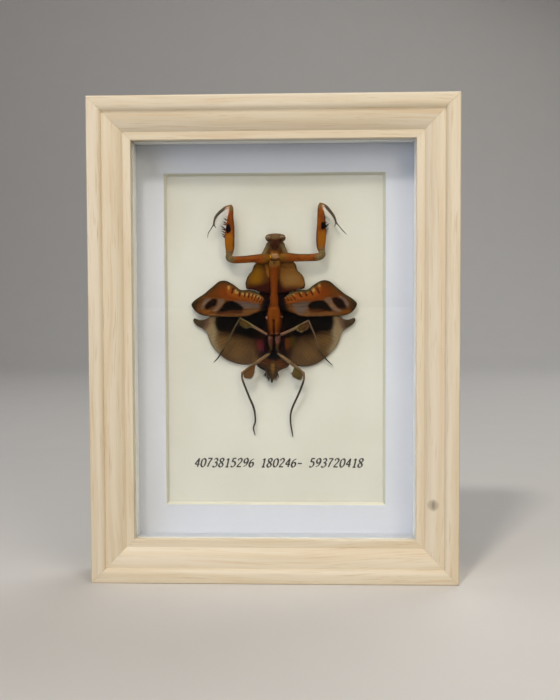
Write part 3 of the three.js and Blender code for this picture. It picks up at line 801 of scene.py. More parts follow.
def makeCaption():
    c = caption
    strokes = []
    for index, letter in enumerate(c["text"]):
        for path in numerals.get(letter, []):
            line = smoothLine(path, 6) if len(path) > 2 else np.linspace(path[0], path[1], 4)
            right, up = line[:, 0] * c["height"] * c["breadth"], line[:, 1] * c["height"]
            x = c["left"] + index * c["advance"] + right + up * c["slant"]
            strokes.append(penStroke(np.column_stack([x, c["base"] + up])))
    points, faces = joinShells(strokes)
    makePiece("card_numerals", points * mm, faces, inkMaterial(), (), 30)


makeCaption()
print("card numerals made")

# Insect materials
chitin = {"IOR": 1.54}
cuticle = {
    "gloss": 0.03,  # dulled by drying
    "mottle": 0.3,  # waves per mm, as are the pits
    "pits": 2.2,
    "relief": 0.05,
    "dust": "#160c06",
}
membrane = {"gloss": 0.02, "roughness": 0.45}


# Dried cuticle: hard satin skin, mottled, with fine pits and wrinkles that break up the gloss
def cuticleMaterial(name, pale, deep, marks, roughness=0.42):
    finish = {**chitin, "Specular IOR Level": cuticle["gloss"], "Roughness": roughness}
    made, tree, shader = newMaterial(name, finish)
    place = placeOf(tree)
    cloud = noiseAt(tree, place, cuticle["mottle"], 4, 0.6)
    speck = noiseAt(tree, place, 1.7, 4, 0.7)
    colour = blended(tree, ranged(tree, cloud, 0.35, 0.65), pale, deep)
    colour = paintMarks(tree, colour, marks, speck)
    darker = blended(tree, 0.55, colour, cuticle["dust"])
    setColour(tree, shader, blended(tree, ranged(tree, speck, 0.5, 0.78, 0, 0.45), colour, darker))
    setBump(tree, shader, noiseAt(tree, place, cuticle["pits"], 4, 0.65), cuticle["relief"], 0.8)
    return made


# Head: balls are (x, z, h, three radii, faces round, rings), tubes are stations of (x, z, h, radius)
head = {
    "skullAndEyes": [(0.5, 11.15, 5.3, 4.55, 2.0, 1.6, 40, 20), (-2.35, 11.1, 5.3, 1.6, 1.7, 1.65),
                     (3.45, 11.05, 5.3, 1.65, 1.7, 1.65)],
    "face": [(0.45, 11.0, 5.5, 2.6), (0.45, 9.4, 5.7, 2.5), (0.4, 7.6, 5.7, 2.1), (0.35, 6.0, 5.5, 1.3)],
    "lipAndCheeks": [(0.35, 6.9, 6.5, 1.0, 1.0, 0.7), (-0.6, 8.2, 6.7, 0.9, 1.2, 0.75),
                     (1.4, 8.2, 6.7, 0.9, 1.2, 0.75)],
    "faceLines": [[(0.4, 6.6), (0.4, 9.2)], [(-1.4, 9.7), (0.4, 9.4), (2.2, 9.7)]],
    "eyeEdges": [[(-1.9, 12.6), (-1.45, 11.4), (-1.7, 9.9), (-2.4, 9.2)],
                 [(3.0, 12.6), (2.5, 11.4), (2.75, 9.9), (3.4, 9.2)]],
    "palps": [[(-1.2, 8.2, 7.1, 0.2), (-1.9, 7.4, 7.3, 0.18), (-1.7, 6.5, 7.2, 0.16), (-1.0, 5.9, 7.0, 0.1)],
              [(1.9, 8.2, 7.1, 0.2), (2.6, 7.4, 7.3, 0.18), (2.4, 6.5, 7.2, 0.16), (1.7, 5.9, 7.0, 0.1)]],
}
headMarks = [
    newMark("face", "#331405", 0.6, 0.9,
        [(-2.0, 10.9), (-1.0, 10.4), (0.4, 10.3), (2.0, 10.4), (3.0, 10.8), (2.7, 9.0), (1.6, 6.2),
         (-0.9, 6.2), (-1.9, 9.0)]),
    newMark("brow", "#544029", 0.5, 1,
        [(-1.6, 12.6), (0.4, 12.9), (2.8, 12.5), (2.6, 11.1), (0.4, 10.8), (-1.5, 11.1)]),
    newMark("eyeRing", "#8f7c64", 0.2, 0.7,
        [(-3.4, 11.4), (-2.8, 12.0), (-1.9, 11.9), (-1.6, 11.1), (-1.9, 10.7), (-2.2, 11.4), (-2.8, 11.5),
         (-3.2, 11.0)],
        [(2.6, 11.0), (2.8, 11.8), (3.6, 12.0), (4.4, 11.4), (4.3, 11.0), (3.7, 11.5), (3.1, 11.4),
         (3.0, 10.8)]),
]


def makeHead():
    shells = [ball(*b) for b in head["skullAndEyes"]] + [tube(head["face"], 0.75, 30)]
    skin = fuse(shells + [ball(*b) for b in head["lipAndCheeks"]], voxel=0.13, smoothing=3)
    skin = carve(skin, head["faceLines"], width=0.16, depth=0.22)
    skin = carve(skin, [smoothLine(line, 5) for line in head["eyeEdges"]], width=0.18, depth=0.14)
    skin = roughened(skin, size=1.1, amount=0.025, seed=3)
    palps = [tube(line, 1, 10) for line in head["palps"]]
    look = cuticleMaterial("dried cuticle, head", "#5a4428", "#48321b", headMarks)
    insectPiece("head", joinShells([skin, *palps]), look, headMarks)


# Prothorax and its leaf-like shield
shield = {
    "outline": [(0.4, 9.8), (-3.1, 9.4), (-4.5, 6.9), (-5.9, 4.4), (-7.6, 1.2), (-9.2, -0.8), (-10.1, -3.2),
                (-12.1, -5.8), (-13.0, -8.8), (-12.7, -11.2), (-9.6, -11.9), (-5.2, -13.2), (0.3, -13.6),
                (5.8, -13.2), (10.2, -11.8), (13.4, -11.1), (13.8, -8.6), (12.6, -5.4), (10.3, -3.0),
                (9.6, -0.6), (8.4, 1.2), (6.3, 4.4), (5.2, 6.9), (4.0, 9.4)],
    "ridge": [(0.2, 7.3, 4.2, 1.4), (0.3, 4, 4.6, 2.5), (0.1, 0, 4.8, 2.6), (-0.1, -4, 4.8, 2.1),
              (-0.1, -10, 4.9, 1.65), (-0.1, -18.4, 5.1, 1.65)],
    "legBases": [(-3.2, 2.2, 4.9, 1.9, 1.9, 1.3), (3.4, 2.4, 4.9, 1.9, 1.9, 1.3),
                 (0.2, 3.3, 5.9, 1.9, 1.0, 0.8)],
    "chestLine": [[(-3.2, 1.6), (-1.6, 1.25), (0.2, 1.6), (2.4, 1.4)]],
    "ridgeSides": [[(1.6, -0.5), (1.45, -6.6)], [(-2.3, -0.5), (-1.95, -7), (-1.6, -14)]],
    "ridgeTop": [[(0.0, -1.5), (-0.1, -17.5)]],
}
shieldMarks = [
    newMark("rightLobe", "#6c4518", 1.6, 1,
        [(1.5, 0.5), (8.5, 1.4), (10.5, -3.0), (13.0, -6.0), (13.8, -9.5), (10, -11.2), (4, -11.6),
         (1.6, -6)]),
    # painted highlight where the right lobe's relief faces the light
    newMark("rightHighlight", "#72542b", 2.4, 0.75,
        [(4.4, -6.4), (7.0, -4.6), (10.2, -5.4), (11.0, -8.0), (8.6, -9.6), (5.0, -9.2)]),
    newMark("leftGlow", "#734c03", 2.6, 0.95,
        [(-7.6, -0.6), (-6.0, -1.4), (-5.6, -5.0), (-6.8, -8.6), (-9.6, -9.0), (-11.0, -7.0), (-9.6, -3.6)]),
    newMark("collar", "#6e5c3d", 0.9, 1,
        [(-3.0, 9.6), (-1.6, 9.4), (-2.4, 5.0), (-4.6, 3.4), (-6.8, 3.8)],
        [(3.4, 9.6), (2.4, 9.4), (3.2, 5.0), (5.0, 3.4), (7.0, 3.8)]),
    newMark("throat", "#62370b", 0.8, 0.9,
        [(-2.2, 6.8), (2.6, 6.8), (4.2, 3.0), (2.5, 1.8), (-2.5, 1.8), (-4.0, 3.0)]),
    newMark("lowerShade", "#2a0803", 1.7, 0.95,
        [(-13, -10.4), (-8.5, -9.6), (-5.0, -9.0), (-2.2, -7.0), (-2.0, -14.5), (-13, -13.5)],
        [(1.8, -7.6), (4.2, -10.2), (8.5, -10.6), (13.6, -11.4), (12, -13.6), (1.6, -14.5)]),
    newMark("rimShade", "#2f2a17", 0.5, 0.75,
        [(-9.2, -0.8), (-10.1, -3.2), (-12.1, -5.8), (-13.0, -8.8), (-12.7, -11.2), (-12.1, -10.8),
         (-12.3, -8.8), (-11.4, -6.1), (-9.5, -3.4), (-8.6, -1.0)],
        [(9.6, -0.6), (10.3, -3.0), (12.6, -5.4), (13.8, -8.6), (13.4, -11.1), (12.8, -10.6), (13.1, -8.6),
         (11.9, -5.8), (9.7, -3.3), (9.0, -0.8)]),
    # painted shade in the hollow between the left lobe and the ridge
    newMark("shadeBesideRidge", "#4d2806", 0.5, 0.9,
        [(-4.9, -0.5), (-4.0, -1.4), (-3.6, -5.2), (-2.6, -7.2), (-3.0, -8.6), (-4.4, -7.2), (-4.7, -4)]),
    newMark("paleSide", "#9c661f", 0.5, 0.7, [(-4.0, -0.2), (-2.4, -0.4), (-2.3, -6.4), (-3.2, -5.0)]),
    newMark("ridgeBand", "#642d03", 0.35, 1,
        [(-2.5, -0.8), (2.1, -0.8), (1.7, -4), (1.4, -8), (1.3, -13), (1.4, -20), (-1.9, -20), (-1.7, -13),
         (-1.9, -8), (-2.4, -4)]),
    newMark("pinPlate", "#6b481a", 0.45, 0.8, [(-2.4, 1.0), (2.4, 1.2), (2.4, -1.4), (-2.6, -1.4)]),
    newMark("chestPlate", "#8f6c46", 0.5, 0.85,
        [(-1.2, 3.9), (1.8, 3.9), (2.8, 2.9), (1.4, 2.2), (-0.6, 2.2)]),
    newMark("yellowSpot", "#b8901c", 0.3, 0.85,
        [(-4.0, 3.3), (-1.6, 3.4), (-1.4, 2.4), (-3.8, 2.4)],
        [(3.0, 3.4), (5.6, 3.2), (5.4, 2.6), (3.4, 2.6)]),
    newMark("chestGroove", "#1a0703", 0.25, 0.9,
        [(-3.2, 2.0), (-1.8, 1.7), (0.4, 1.4), (2.4, 1.8), (4.6, 1.2), (4.4, 0.7), (2.4, 1.2), (0.4, 0.8),
         (-1.8, 1.1), (-3.1, 1.5)]),
    newMark("ridgeLine", "#572a04", 0.16, 0.8, [(1.55, -1.2), (2.15, -1.2), (1.9, -5.6), (1.35, -6.6)]),
]


def makeProthorax():
    cup = lambda x, z: 2.4 + 0.006 * x ** 2 + 0.004 * (z + 4) ** 2
    plate = leaf(
        shield["outline"], 0.3,
        lambda x, z, e: cup(x, z) + 0.8 * np.clip(e / 0.5, 0.25, 1),
        lambda x, z, e: cup(x, z) + 0.3 * (1 - np.clip(e / 0.5, 0, 1)))
    shells = [plate, tube(shield["ridge"], 0.72, 30, 8), *(ball(*b) for b in shield["legBases"])]
    skin = fuse(shells, voxel=0.17, smoothing=4)
    skin = carve(skin, shield["chestLine"], width=0.22, depth=0.4)
    skin = carve(skin, shield["ridgeSides"], width=0.2, depth=0.22)
    skin = carve(skin, shield["ridgeTop"], width=0.5, depth=-0.16)
    veins = [[(x * 2.2, -1.5 - abs(x) * 0.3), (x * 8.5, -4.0 - drop), (x * 12.5, -7.2 - 1.7 * drop)]
             for x in (-1, 1) for drop in (-1.5, 0.0, 1.5, 3.0)]
    skin = carve(skin, veins, width=0.35, depth=0.07)
    skin = roughened(skin, size=2.4, amount=0.05, seed=5)
    look = cuticleMaterial("dried cuticle, shield", "#4f2f09", "#43270a", shieldMarks)
    insectPiece("prothorax", skin, look, shieldMarks)


# Middle and hind thorax
thorax = {
    "sidePlate": [(-6.4, -11.5), (6.0, -11.5), (6.4, -15.5), (4.4, -19), (3.6, -24), (3.6, -40), (-4.2, -40),
                  (-4.2, -24), (-5.0, -19), (-7.0, -15.5)],  # the dark skin between the wing roots; its top also stands for painted shade under the shield's edge
    "trunk": [(-0.3, -14.4, 2.0, 2.2), (-0.3, -20, 2.4, 3.1), (-0.3, -30, 2.8, 3.1), (-0.3, -39.2, 2.6, 2.0)],
    "breast": [(-0.3, -17.6, 4.5, 1.7), (-0.3, -19.4, 4.7, 2.5), (-0.3, -22.6, 4.8, 2.75),
               (-0.3, -26, 4.5, 2.3)],
    "pairs": [  # stations as (out from the body's axis, z, h, radius), with the tube's flatness and sides
        ([(1.4, -21, 4.9, 1.35), (1.35, -24.5, 5.1, 1.45), (1.15, -28.2, 5.1, 1.15),
          (0.85, -31.0, 4.9, 0.7)], 0.95, 24),
        ([(0.9, -31.4, 5.2, 0.7), (2.0, -31.6, 5.3, 0.75), (3.0, -31.9, 5.2, 0.6)], 0.9, 18),
        ([(1.55, -33.2, 4.3, 1.05), (1.45, -35.6, 4.6, 1.1), (1.0, -38.4, 4.3, 0.7)], 1, 20),
        ([(1.0, -38.2, 4.4, 0.8), (2.2, -39.8, 4.9, 0.8), (3.0, -40.4, 5.0, 0.7)], 0.9, 18)],
    "knob": (3.35, -24.2, 4.2, 0.42, 0.5, 0.45, 14, 8),
    "splitLine": [[(-0.4, -25.5), (-0.28, -28), (-0.2, -31.2)]],
    "rings": [[(-2.6, -23.2), (-1.4, -23.9), (-0.3, -24.1), (0.8, -23.9), (2.0, -23.2)],
              [(-1.7, -19.2), (-0.3, -19.6), (1.1, -19.2)]],
}
thoraxMarks = [
    newMark("breast", "#562804", 0.35, 1,
        [(-1.9, -14.0), (1.3, -14.0), (1.4, -18), (2.2, -20.5), (2.9, -24), (2.7, -27.5), (1.6, -31.3),
         (-2.0, -31.3), (-3.2, -27.5), (-3.4, -24), (-2.8, -20.5), (-2.0, -18)]),
    newMark("breastGlow", "#6b3504", 0.6, 0.8,
        [(-2.4, -20.4), (-1.0, -19.4), (0.4, -19.4), (1.8, -20.4), (2.2, -25), (1.2, -29.6), (0.4, -27),
         (-0.3, -25.2), (-1.0, -27), (-1.8, -29.6), (-2.8, -25)]),
    newMark("split", "#1d0b05", 0.16, 1,
        [(-0.8, -25.0), (0.2, -25.0), (-0.05, -26.6), (-0.05, -31.4), (-0.55, -31.4), (-0.5, -26.6)]),
    newMark("hindBases", "#4d261c", 0.3, 0.9,
        [(-2.9, -32.6), (-1.0, -32.6), (-0.9, -35.6), (-1.4, -37.4), (-2.6, -36.8)],
        [(0.4, -32.6), (2.4, -32.6), (2.2, -36.0), (1.2, -37.6), (0.4, -36.0)]),
    newMark("baseTops", "#6c483b", 0.35, 0.85,
        [(-2.7, -32.9), (-1.3, -32.9), (-1.3, -34.6), (-2.5, -34.6)],
        [(0.6, -32.9), (2.2, -32.9), (2.0, -34.8), (0.7, -34.8)]),
    newMark("baseEnds", "#3a2d12", 0.35, 0.85,
        [(-2.6, -35.8), (-1.3, -36.0), (-1.3, -38.2), (-2.4, -38.2)],
        [(0.5, -35.9), (1.8, -36.0), (1.4, -38.4), (0.6, -38.2)]),
    newMark("redDots", "#390a06", 0.2, 0.9,
        [(-2.2, -33.8), (-1.4, -33.6), (-1.3, -34.6), (-2.1, -34.8)],
        [(1.0, -33.4), (1.8, -33.4), (1.8, -34.4), (1.0, -34.4)]),
    newMark("oliveBits", "#3a270b", 0.25, 0.7,
        [(-2.4, -36.9), (-1.2, -36.9), (-1.3, -38.4), (-2.2, -38.4)],
        [(0.6, -36.9), (1.8, -36.9), (1.6, -38.4), (0.7, -38.4)]),
    newMark("sideGlint", "#a87468", 0.2, 0.8,
        [(-3.9, -23.7), (-3.3, -23.7), (-3.3, -24.7), (-3.9, -24.7)],
        [(3.2, -23.6), (4.1, -23.8), (3.9, -24.5), (3.2, -24.4)]),
]


def makeThorax():
    shells = [leaf(thorax["sidePlate"], 0.4, lambda x, z, e: 2.0 + 0 * x, lambda x, z, e: 1.5 + 0 * x),
              tube(thorax["trunk"], 0.42, 30), tube(thorax["breast"], 0.66, 30)]
    for side in (-1, 1):
        for line, flat, sides in thorax["pairs"]:
            shells.append(tube([(bodyAxis + side * out, *rest) for out, *rest in line], flat, sides))
        out, *rest = thorax["knob"]
        shells.append(ball(bodyAxis + side * out, *rest))
    skin = fuse(shells, voxel=0.14, smoothing=3)
    skin = carve(skin, thorax["splitLine"], width=0.2, depth=0.5)
    skin = carve(skin, thorax["rings"], width=0.22, depth=0.16)
    skin = roughened(skin, size=1.3, amount=0.035, seed=9)
    look = cuticleMaterial("dried cuticle, breast", "#190503", "#120302", thoraxMarks)
    insectPiece("thorax", skin, look, thoraxMarks)


# Abdomen
abdomen = {
    "outline": [(-0.3, -39.7), (-4.4, -41.6), (-8.6, -44.9), (-7.0, -47.0), (-4.7, -48.2), (-3.4, -49.7),
                (-2.3, -51.3), (-1.8, -52.7), (-1.45, -54.2), (-1.0, -52.7), (-0.1, -50.9), (1.2, -49.0),
                (2.7, -47.8), (6.0, -46.3), (6.8, -44.7), (3.6, -41.6)],
    "rings": [-42.2, -44.0, -45.9, -47.6],
    "keel": [(-0.6, -43.2, 3.5, 0.6), (-0.9, -47, 3.7, 1.25), (-1.1, -50, 3.3, 1.1), (-1.4, -53.2, 2.7, 0.4)],
    "keelSides": [[(-2.4, -43.5), (-2.7, -47), (-1.9, -51.5)], [(0.5, -43.5), (0.5, -47), (-0.6, -51.5)]],
    "feelers": [[(-2.4, -48.8, 3.3, 0.22), (-3.1, -50.0, 3.4, 0.2), (-3.7, -51.3, 3.3, 0.12)],
                [(0.6, -48.6, 3.3, 0.22), (1.2, -49.8, 3.4, 0.2), (1.7, -51.1, 3.3, 0.12)]],
    "hairs": 36,
    "tail": (-1.4, -52.2),
}
abdomenMarks = [
    newMark("sideLight", "#4d2402", 1.2, 0.85,
        [(-6.6, -43.8), (-3, -42.6), (-2.6, -44.2), (-6.0, -45.2)],
        [(6.6, -44.6), (2, -42.8), (1.6, -46.4), (5.2, -46.6)]),
    newMark("oliveSide", "#281a03", 1.0, 0.9,
        [(-8.8, -45.4), (-4.2, -45.8), (-2.6, -46.6), (-1.6, -54.6), (-3.4, -51.4), (-5.0, -49.4),
         (-8.0, -47.6)],
        [(-1.4, -54.8), (-0.6, -51.6), (1.0, -50.0), (0.4, -51.6)]),
    newMark("midPlate", "#452c02", 0.7, 0.95,
        [(-1.8, -44.6), (0.6, -44.4), (1.3, -46.9), (0.4, -50.0), (-0.9, -51.6), (-1.9, -50.0),
         (-2.4, -46.9)]),
    newMark("baseShade", "#010000", 0.9, 1,
        [(-4.5, -41.2), (-0.3, -38.5), (3.8, -41.2), (2.0, -42.6), (-0.4, -43.2), (-2.8, -42.6)]),
    newMark("tipLight", "#664718", 0.5, 0.8,
        [(-1.6, -44.8), (-0.5, -44.8), (-0.1, -46.8), (-0.7, -49), (-1.6, -47)]),
]


def makeAbdomen():
    body = leaf(
        abdomen["outline"], 0.3,
        lambda x, z, e: 2.6 + 1.3 * np.sin(np.clip(e / 3.2, 0, 1.57)),
        lambda x, z, e: 2.6 - 0.9 * np.sin(np.clip(e / 2.0, 0, 1.57)))
    skin = fuse([body, tube(abdomen["keel"], 0.75, 22)], voxel=0.16, smoothing=3)
    rings = [[(-8, z + 0.5), (-3, z - 0.5), (-0.8, z - 0.8), (2, z - 0.5), (6.5, z + 0.5)]
             for z in abdomen["rings"]]
    skin = carve(skin, rings, width=0.2, depth=0.2)
    skin = carve(skin, abdomen["keelSides"], width=0.2, depth=0.16)
    skin = roughened(skin, size=1.2, amount=0.04, seed=13)
    hairs = [tube(line, 1, 8) for line in abdomen["feelers"]]
    tailX, tailZ = abdomen["tail"]
    for i in range(abdomen["hairs"]):
        side = 1 if i % 2 else -1
        out = chance.uniform(0.9, 2.7)
        x = tailX + side * out
        z = tailZ + out * 1.15 + chance.uniform(0, 0.5)
        reach = chance.uniform(1.3, 2.3)
        lean = side * chance.uniform(0.0, 0.65)
        hairs.append(tube([(x, z, 3.0, 0.14), (x + lean * reach * 0.6, z - reach * 0.6, 3.1, 0.11),
                           (x + lean * reach, z - reach, 3.0, 0.05)], 1, 5, 3))
    look = cuticleMaterial("dried cuticle, belly", "#402300", "#2f1700", abdomenMarks, 0.6)
    insectPiece("abdomen", joinShells([skin, *hairs]), look, abdomenMarks)


makeHead()
makeProthorax()
makeThorax()
makeAbdomen()
print("insect body made")

sideSigns = {"left": -1, "right": 1}

# Forewings: outlines and marks are (out from the body's axis, z)
forewing = {
    "outline": [(2.4, -17.0), (5.4, -14.6), (7.8, -12.7), (11.0, -11.8), (15.0, -11.7), (17.5, -9.8),
                (21.4, -7.7), (24.4, -7.9), (27.2, -10.0), (31.6, -13.7), (35.4, -16.2), (37.0, -18.2),
                (35.2, -21.4), (32.0, -23.1), (28.0, -23.5), (20.0, -23.8), (12.0, -23.6), (8.6, -22.4),
                (5.0, -21.6), (2.4, -21.2)],
    "mainVein": [(3.8, -18.3), (9.0, -17.6), (18.0, -16.9), (26.0, -15.6), (32.0, -15.6), (36.0, -18.0)],
    "veins": [[(4.0, -19.2), (12, -18.9), (20, -18.4), (27, -17.6), (34.5, -19.4)],
              [(4.2, -20.0), (12, -20.2), (20, -19.9), (27, -19.6), (33.5, -21.0)],
              [(4.6, -20.6), (12, -21.6), (20, -21.4), (28, -21.4), (32.0, -22.4)],
              [(6.0, -21.2), (12, -22.8), (20, -22.7), (27.5, -22.7)]],
    "longBar": 0.41,  # half width from which a bar's pale tip is its longer share
    "tipShares": (0.35, 0.55),
    "areas": {
        "orangeField": [(3.0, -18.0), (9.0, -17.7), (18.0, -16.8), (26.0, -15.6), (31.0, -15.6),
                        (34.0, -17.0), (37.5, -17.5), (28.0, -7.0), (22.0, -6.0), (15.0, -10.0),
                        (4.0, -12.0)],
        "brightField": [(8.0, -17.0), (12.0, -16.8), (22.0, -15.8), (25.0, -13.0), (21.0, -10.0),
                        (17.0, -12.0), (9.0, -14.5)],
        "barField": [(4.6, -15.2), (7.5, -13.6), (11.0, -12.8), (15.0, -12.2), (17.0, -11.2), (19.5, -9.6),
                     (21.0, -10.2), (20.8, -13.4), (17.6, -15.2), (12.0, -16.2), (7.0, -17.6), (5.0, -17.4)],
        "margin": [(6.0, -14.4), (8.6, -12.7), (12.0, -12.1), (15.6, -11.8), (17.2, -10.6), (15.4, -12.7),
                   (11.6, -13.0), (8.8, -13.5), (6.6, -15.0)],
        "tipShade": [(33.4, -14.2), (38.0, -17.0), (37.4, -21.0), (34.6, -21.2), (34.3, -18.4)],
        "rootShade": [(1.5, -14.0), (4.8, -15.0), (5.6, -18.6), (6.4, -21.0), (9.5, -24.5), (1.5, -24.5)],
        "strip": [(10.0, -22.6), (18.0, -23.1), (30.0, -23.0), (30.0, -24.5), (10.0, -24.5)],
    },
}
forewingSides = {
    "left": {
        "bars": [(20.0, -9.9, 20.5, -12.6, 0.42), (16.1, -11.6, 17.7, -14.6, 0.8),
                 (14.0, -12.5, 13.7, -15.2, 0.62), (11.9, -13.2, 12.5, -15.5, 0.46),
                 (10.0, -13.5, 10.8, -15.8, 0.4), (8.5, -14.0, 9.5, -16.2, 0.34),
                 (7.1, -14.5, 8.2, -16.7, 0.32), (5.8, -15.1, 7.0, -17.1, 0.3),
                 (4.8, -15.6, 5.9, -17.4, 0.26)],
        "gaps": [(18.1, -11.0, 18.9, -13.3, 0.32), (15.0, -12.2, 15.5, -14.7, 0.36),
                 (13.0, -12.7, 13.1, -15.2, 0.28), (11.0, -13.2, 11.6, -15.8, 0.28),
                 (9.3, -13.7, 10.1, -16.2, 0.25), (7.8, -14.1, 8.9, -16.7, 0.24),
                 (6.5, -14.8, 7.6, -17.1, 0.22), (5.3, -15.5, 6.5, -17.4, 0.22)],
        "outerPale": [(32.5, -20.0), (32.1, -17.7), (30.8, -16.0), (28.8, -15.4), (28.3, -16.1),
                      (29.7, -17.0), (31.0, -18.7), (31.7, -20.3)],
        "outerSpot": [(31.0, -20.0), (30.7, -18.6), (29.3, -17.0), (27.3, -15.9), (25.8, -15.8),
                      (25.5, -16.8), (26.1, -18.3), (27.7, -19.4), (29.5, -20.3), (30.5, -20.4)],
        "paleBand": [(25.3, -15.9), (22.1, -16.1), (22.3, -17.0), (23.2, -18.5), (24.3, -20.0), (25.4, -21.1),
                     (26.9, -21.6), (27.7, -21.3), (26.6, -20.0), (25.6, -18.5), (25.1, -17.0)],
        "innerSpot": [(25.3, -21.5), (24.1, -20.3), (22.8, -18.7), (21.7, -17.2), (20.2, -16.7),
                      (18.0, -16.8), (16.1, -17.7), (14.3, -19.4), (13.7, -20.3), (14.3, -20.9),
                      (19.5, -21.2), (23.2, -21.6)],
        "underSpot": [(25.4, -21.8), (23.2, -21.5), (19.5, -21.2), (14.1, -20.9), (14.1, -21.8),
                      (20.2, -22.2), (25.1, -22.5)],
        "greyField": [(17.3, -17.0), (14.3, -17.1), (9.8, -17.6), (6.8, -18.3), (6.4, -19.4), (8.0, -20.4),
                      (10.4, -20.9), (12.1, -20.2), (13.9, -19.6), (15.4, -18.3)],
        "tanField": [(14.6, -22.4), (13.8, -20.9), (12.2, -20.2), (8.9, -19.9), (7.2, -21.0), (8.3, -23.3),
                     (12.1, -23.7), (15.6, -23.3)],
        "lowerOrange": [(32.3, -20.3), (29.5, -20.8), (27.3, -21.8), (26.2, -22.6), (27.3, -23.4),
                        (29.9, -23.3), (31.8, -22.0)],
    },
    "right": {
        "bars": [(19.9, -9.0, 20.8, -11.4, 0.45), (16.9, -11.0, 18.8, -13.5, 0.82),
                 (14.5, -12.0, 15.8, -14.2, 0.56), (11.5, -12.3, 12.8, -14.4, 0.56),
                 (8.3, -13.3, 11.0, -16.1, 0.33), (7.3, -13.8, 9.7, -16.4, 0.3),
                 (6.0, -14.0, 8.4, -16.6, 0.3), (5.2, -15.1, 6.5, -17.0, 0.33)],
        "gaps": [(18.9, -11.0, 20.2, -13.4, 0.35), (15.9, -11.7, 17.5, -14.3, 0.38),
                 (13.5, -12.5, 14.9, -14.8, 0.32), (10.8, -12.6, 12.4, -15.3, 0.36),
                 (7.3, -13.6, 9.8, -16.5, 0.24), (6.3, -14.0, 8.2, -16.9, 0.22),
                 (5.3, -14.7, 6.9, -17.0, 0.2)],
        "outerPale": [(29.0, -14.6), (30.9, -15.1), (32.6, -16.6), (33.5, -18.9), (32.9, -20.0),
                      (31.8, -18.5), (30.9, -16.6), (29.4, -15.3)],
        "outerSpot": [(26.0, -15.9), (27.2, -15.1), (29.0, -15.7), (30.9, -17.0), (31.8, -18.9),
                      (32.2, -20.0), (30.9, -20.5), (29.0, -20.0), (27.2, -18.5), (26.2, -17.0)],
        "paleBand": [(22.7, -15.9), (25.3, -15.3), (26.0, -16.6), (26.8, -18.5), (28.3, -20.0), (30.1, -21.1),
                     (29.4, -22.0), (27.2, -21.5), (25.3, -20.0), (24.2, -18.1), (22.9, -17.0)],
        "innerSpot": [(15.3, -19.0), (16.4, -17.7), (18.6, -16.7), (22.3, -16.8), (23.8, -18.1),
                      (25.1, -19.8), (26.2, -21.3), (24.6, -21.5), (20.8, -20.7), (17.9, -20.7),
                      (16.0, -20.0)],
        "underSpot": [(16.0, -20.0), (17.9, -20.9), (20.8, -20.8), (24.6, -21.6), (22.3, -21.9),
                      (17.9, -21.8), (16.4, -21.4)],
        "greyField": [(8.4, -18.5), (11.5, -17.6), (14.5, -17.2), (16.0, -17.6), (14.9, -18.9), (14.9, -20.3),
                      (13.4, -22.6), (10.8, -22.9), (9.3, -20.7)],
        "tanField": [(14.9, -20.3), (16.0, -21.5), (18.6, -21.8), (24.6, -22.0), (26.8, -21.8), (28.3, -22.6),
                     (25.3, -23.7), (19.3, -23.9), (13.4, -23.3)],
        "lowerOrange": [(28.3, -21.8), (31.2, -21.5), (33.9, -20.7), (34.2, -21.8), (32.0, -22.8),
                        (29.0, -23.1)],
    },
}


forewingLooks = [  # colour, softness of the edge and strength, in the order of painting
    ("orangeField", "#5b2f0b", 0.35, 1), ("brightField", "#6d3005", 1.4, 0.85),
    ("barField", "#7f3f10", 0.7, 0.9), ("barFoot", "#7e4209", 0.3, 0.9), ("barTips", "#a68046", 0.42, 0.9),
    ("gaps", "#2c0e05", 0.16, 0.9), ("margin", "#7d6a35", 0.35, 0.6), ("greyField", "#574940", 1.0, 0.95),
    ("tanField", "#623f1f", 0.9, 0.85), ("lowerOrange", "#653a0f", 0.5, 0.9),
    ("strip", "#744d2c", 0.45, 0.75), ("underSpot", "#381507", 0.4, 0.9), ("paleBand", "#664f3d", 0.5, 0.95),
    ("outerPale", "#66554a", 0.45, 0.9), ("innerSpot", "#040302", 0.45, 1),
    ("outerSpot", "#120603", 0.45, 1), ("tipShade", "#2c2010", 1.0, 0.85), ("rootShade", "#060202", 1.3, 1)]


# a bar's outline, or that of the share of it next to the wing's edge
def barOutline(bar, share=1.0):
    x0, z0, x1, z1, half = bar
    x1, z1 = x0 + (x1 - x0) * share, z0 + (z1 - z0) * share
    along = np.array([x1 - x0, z1 - z0]) / math.hypot(x1 - x0, z1 - z0)
    aside = np.array([-along[1], along[0]]) * half
    start, end = np.array([x0, z0]), np.array([x1, z1])
    middle = (start + end) / 2
    loop = (start + aside, middle + aside * 1.15, end + aside * 0.6,
            end - aside * 0.6, middle - aside * 1.15, start - aside)
    return [tuple(p) for p in loop]


def forewingMarks(side):
    table = {**forewing["areas"], **forewingSides[side]}
    short, long = forewing["tipShares"]
    several = {  # areas of more than one outline
        "barFoot": [barOutline(bar) for bar in table["bars"]],
        "barTips": [barOutline(bar, long if bar[4] > forewing["longBar"] else short)
                    for bar in table["bars"]],
        "gaps": [barOutline(gap) for gap in table["gaps"]],
    }
    return [newMark(*look, *several.get(look[0], [table.get(look[0])])) for look in forewingLooks]


# both wings are made as distances out from the body's axis, then put on their side
def onSide(points, faces, sign):
    points[:, 0] = bodyAxis + sign * points[:, 0]
    return points, [f[::-1] for f in faces] if sign < 0 else faces


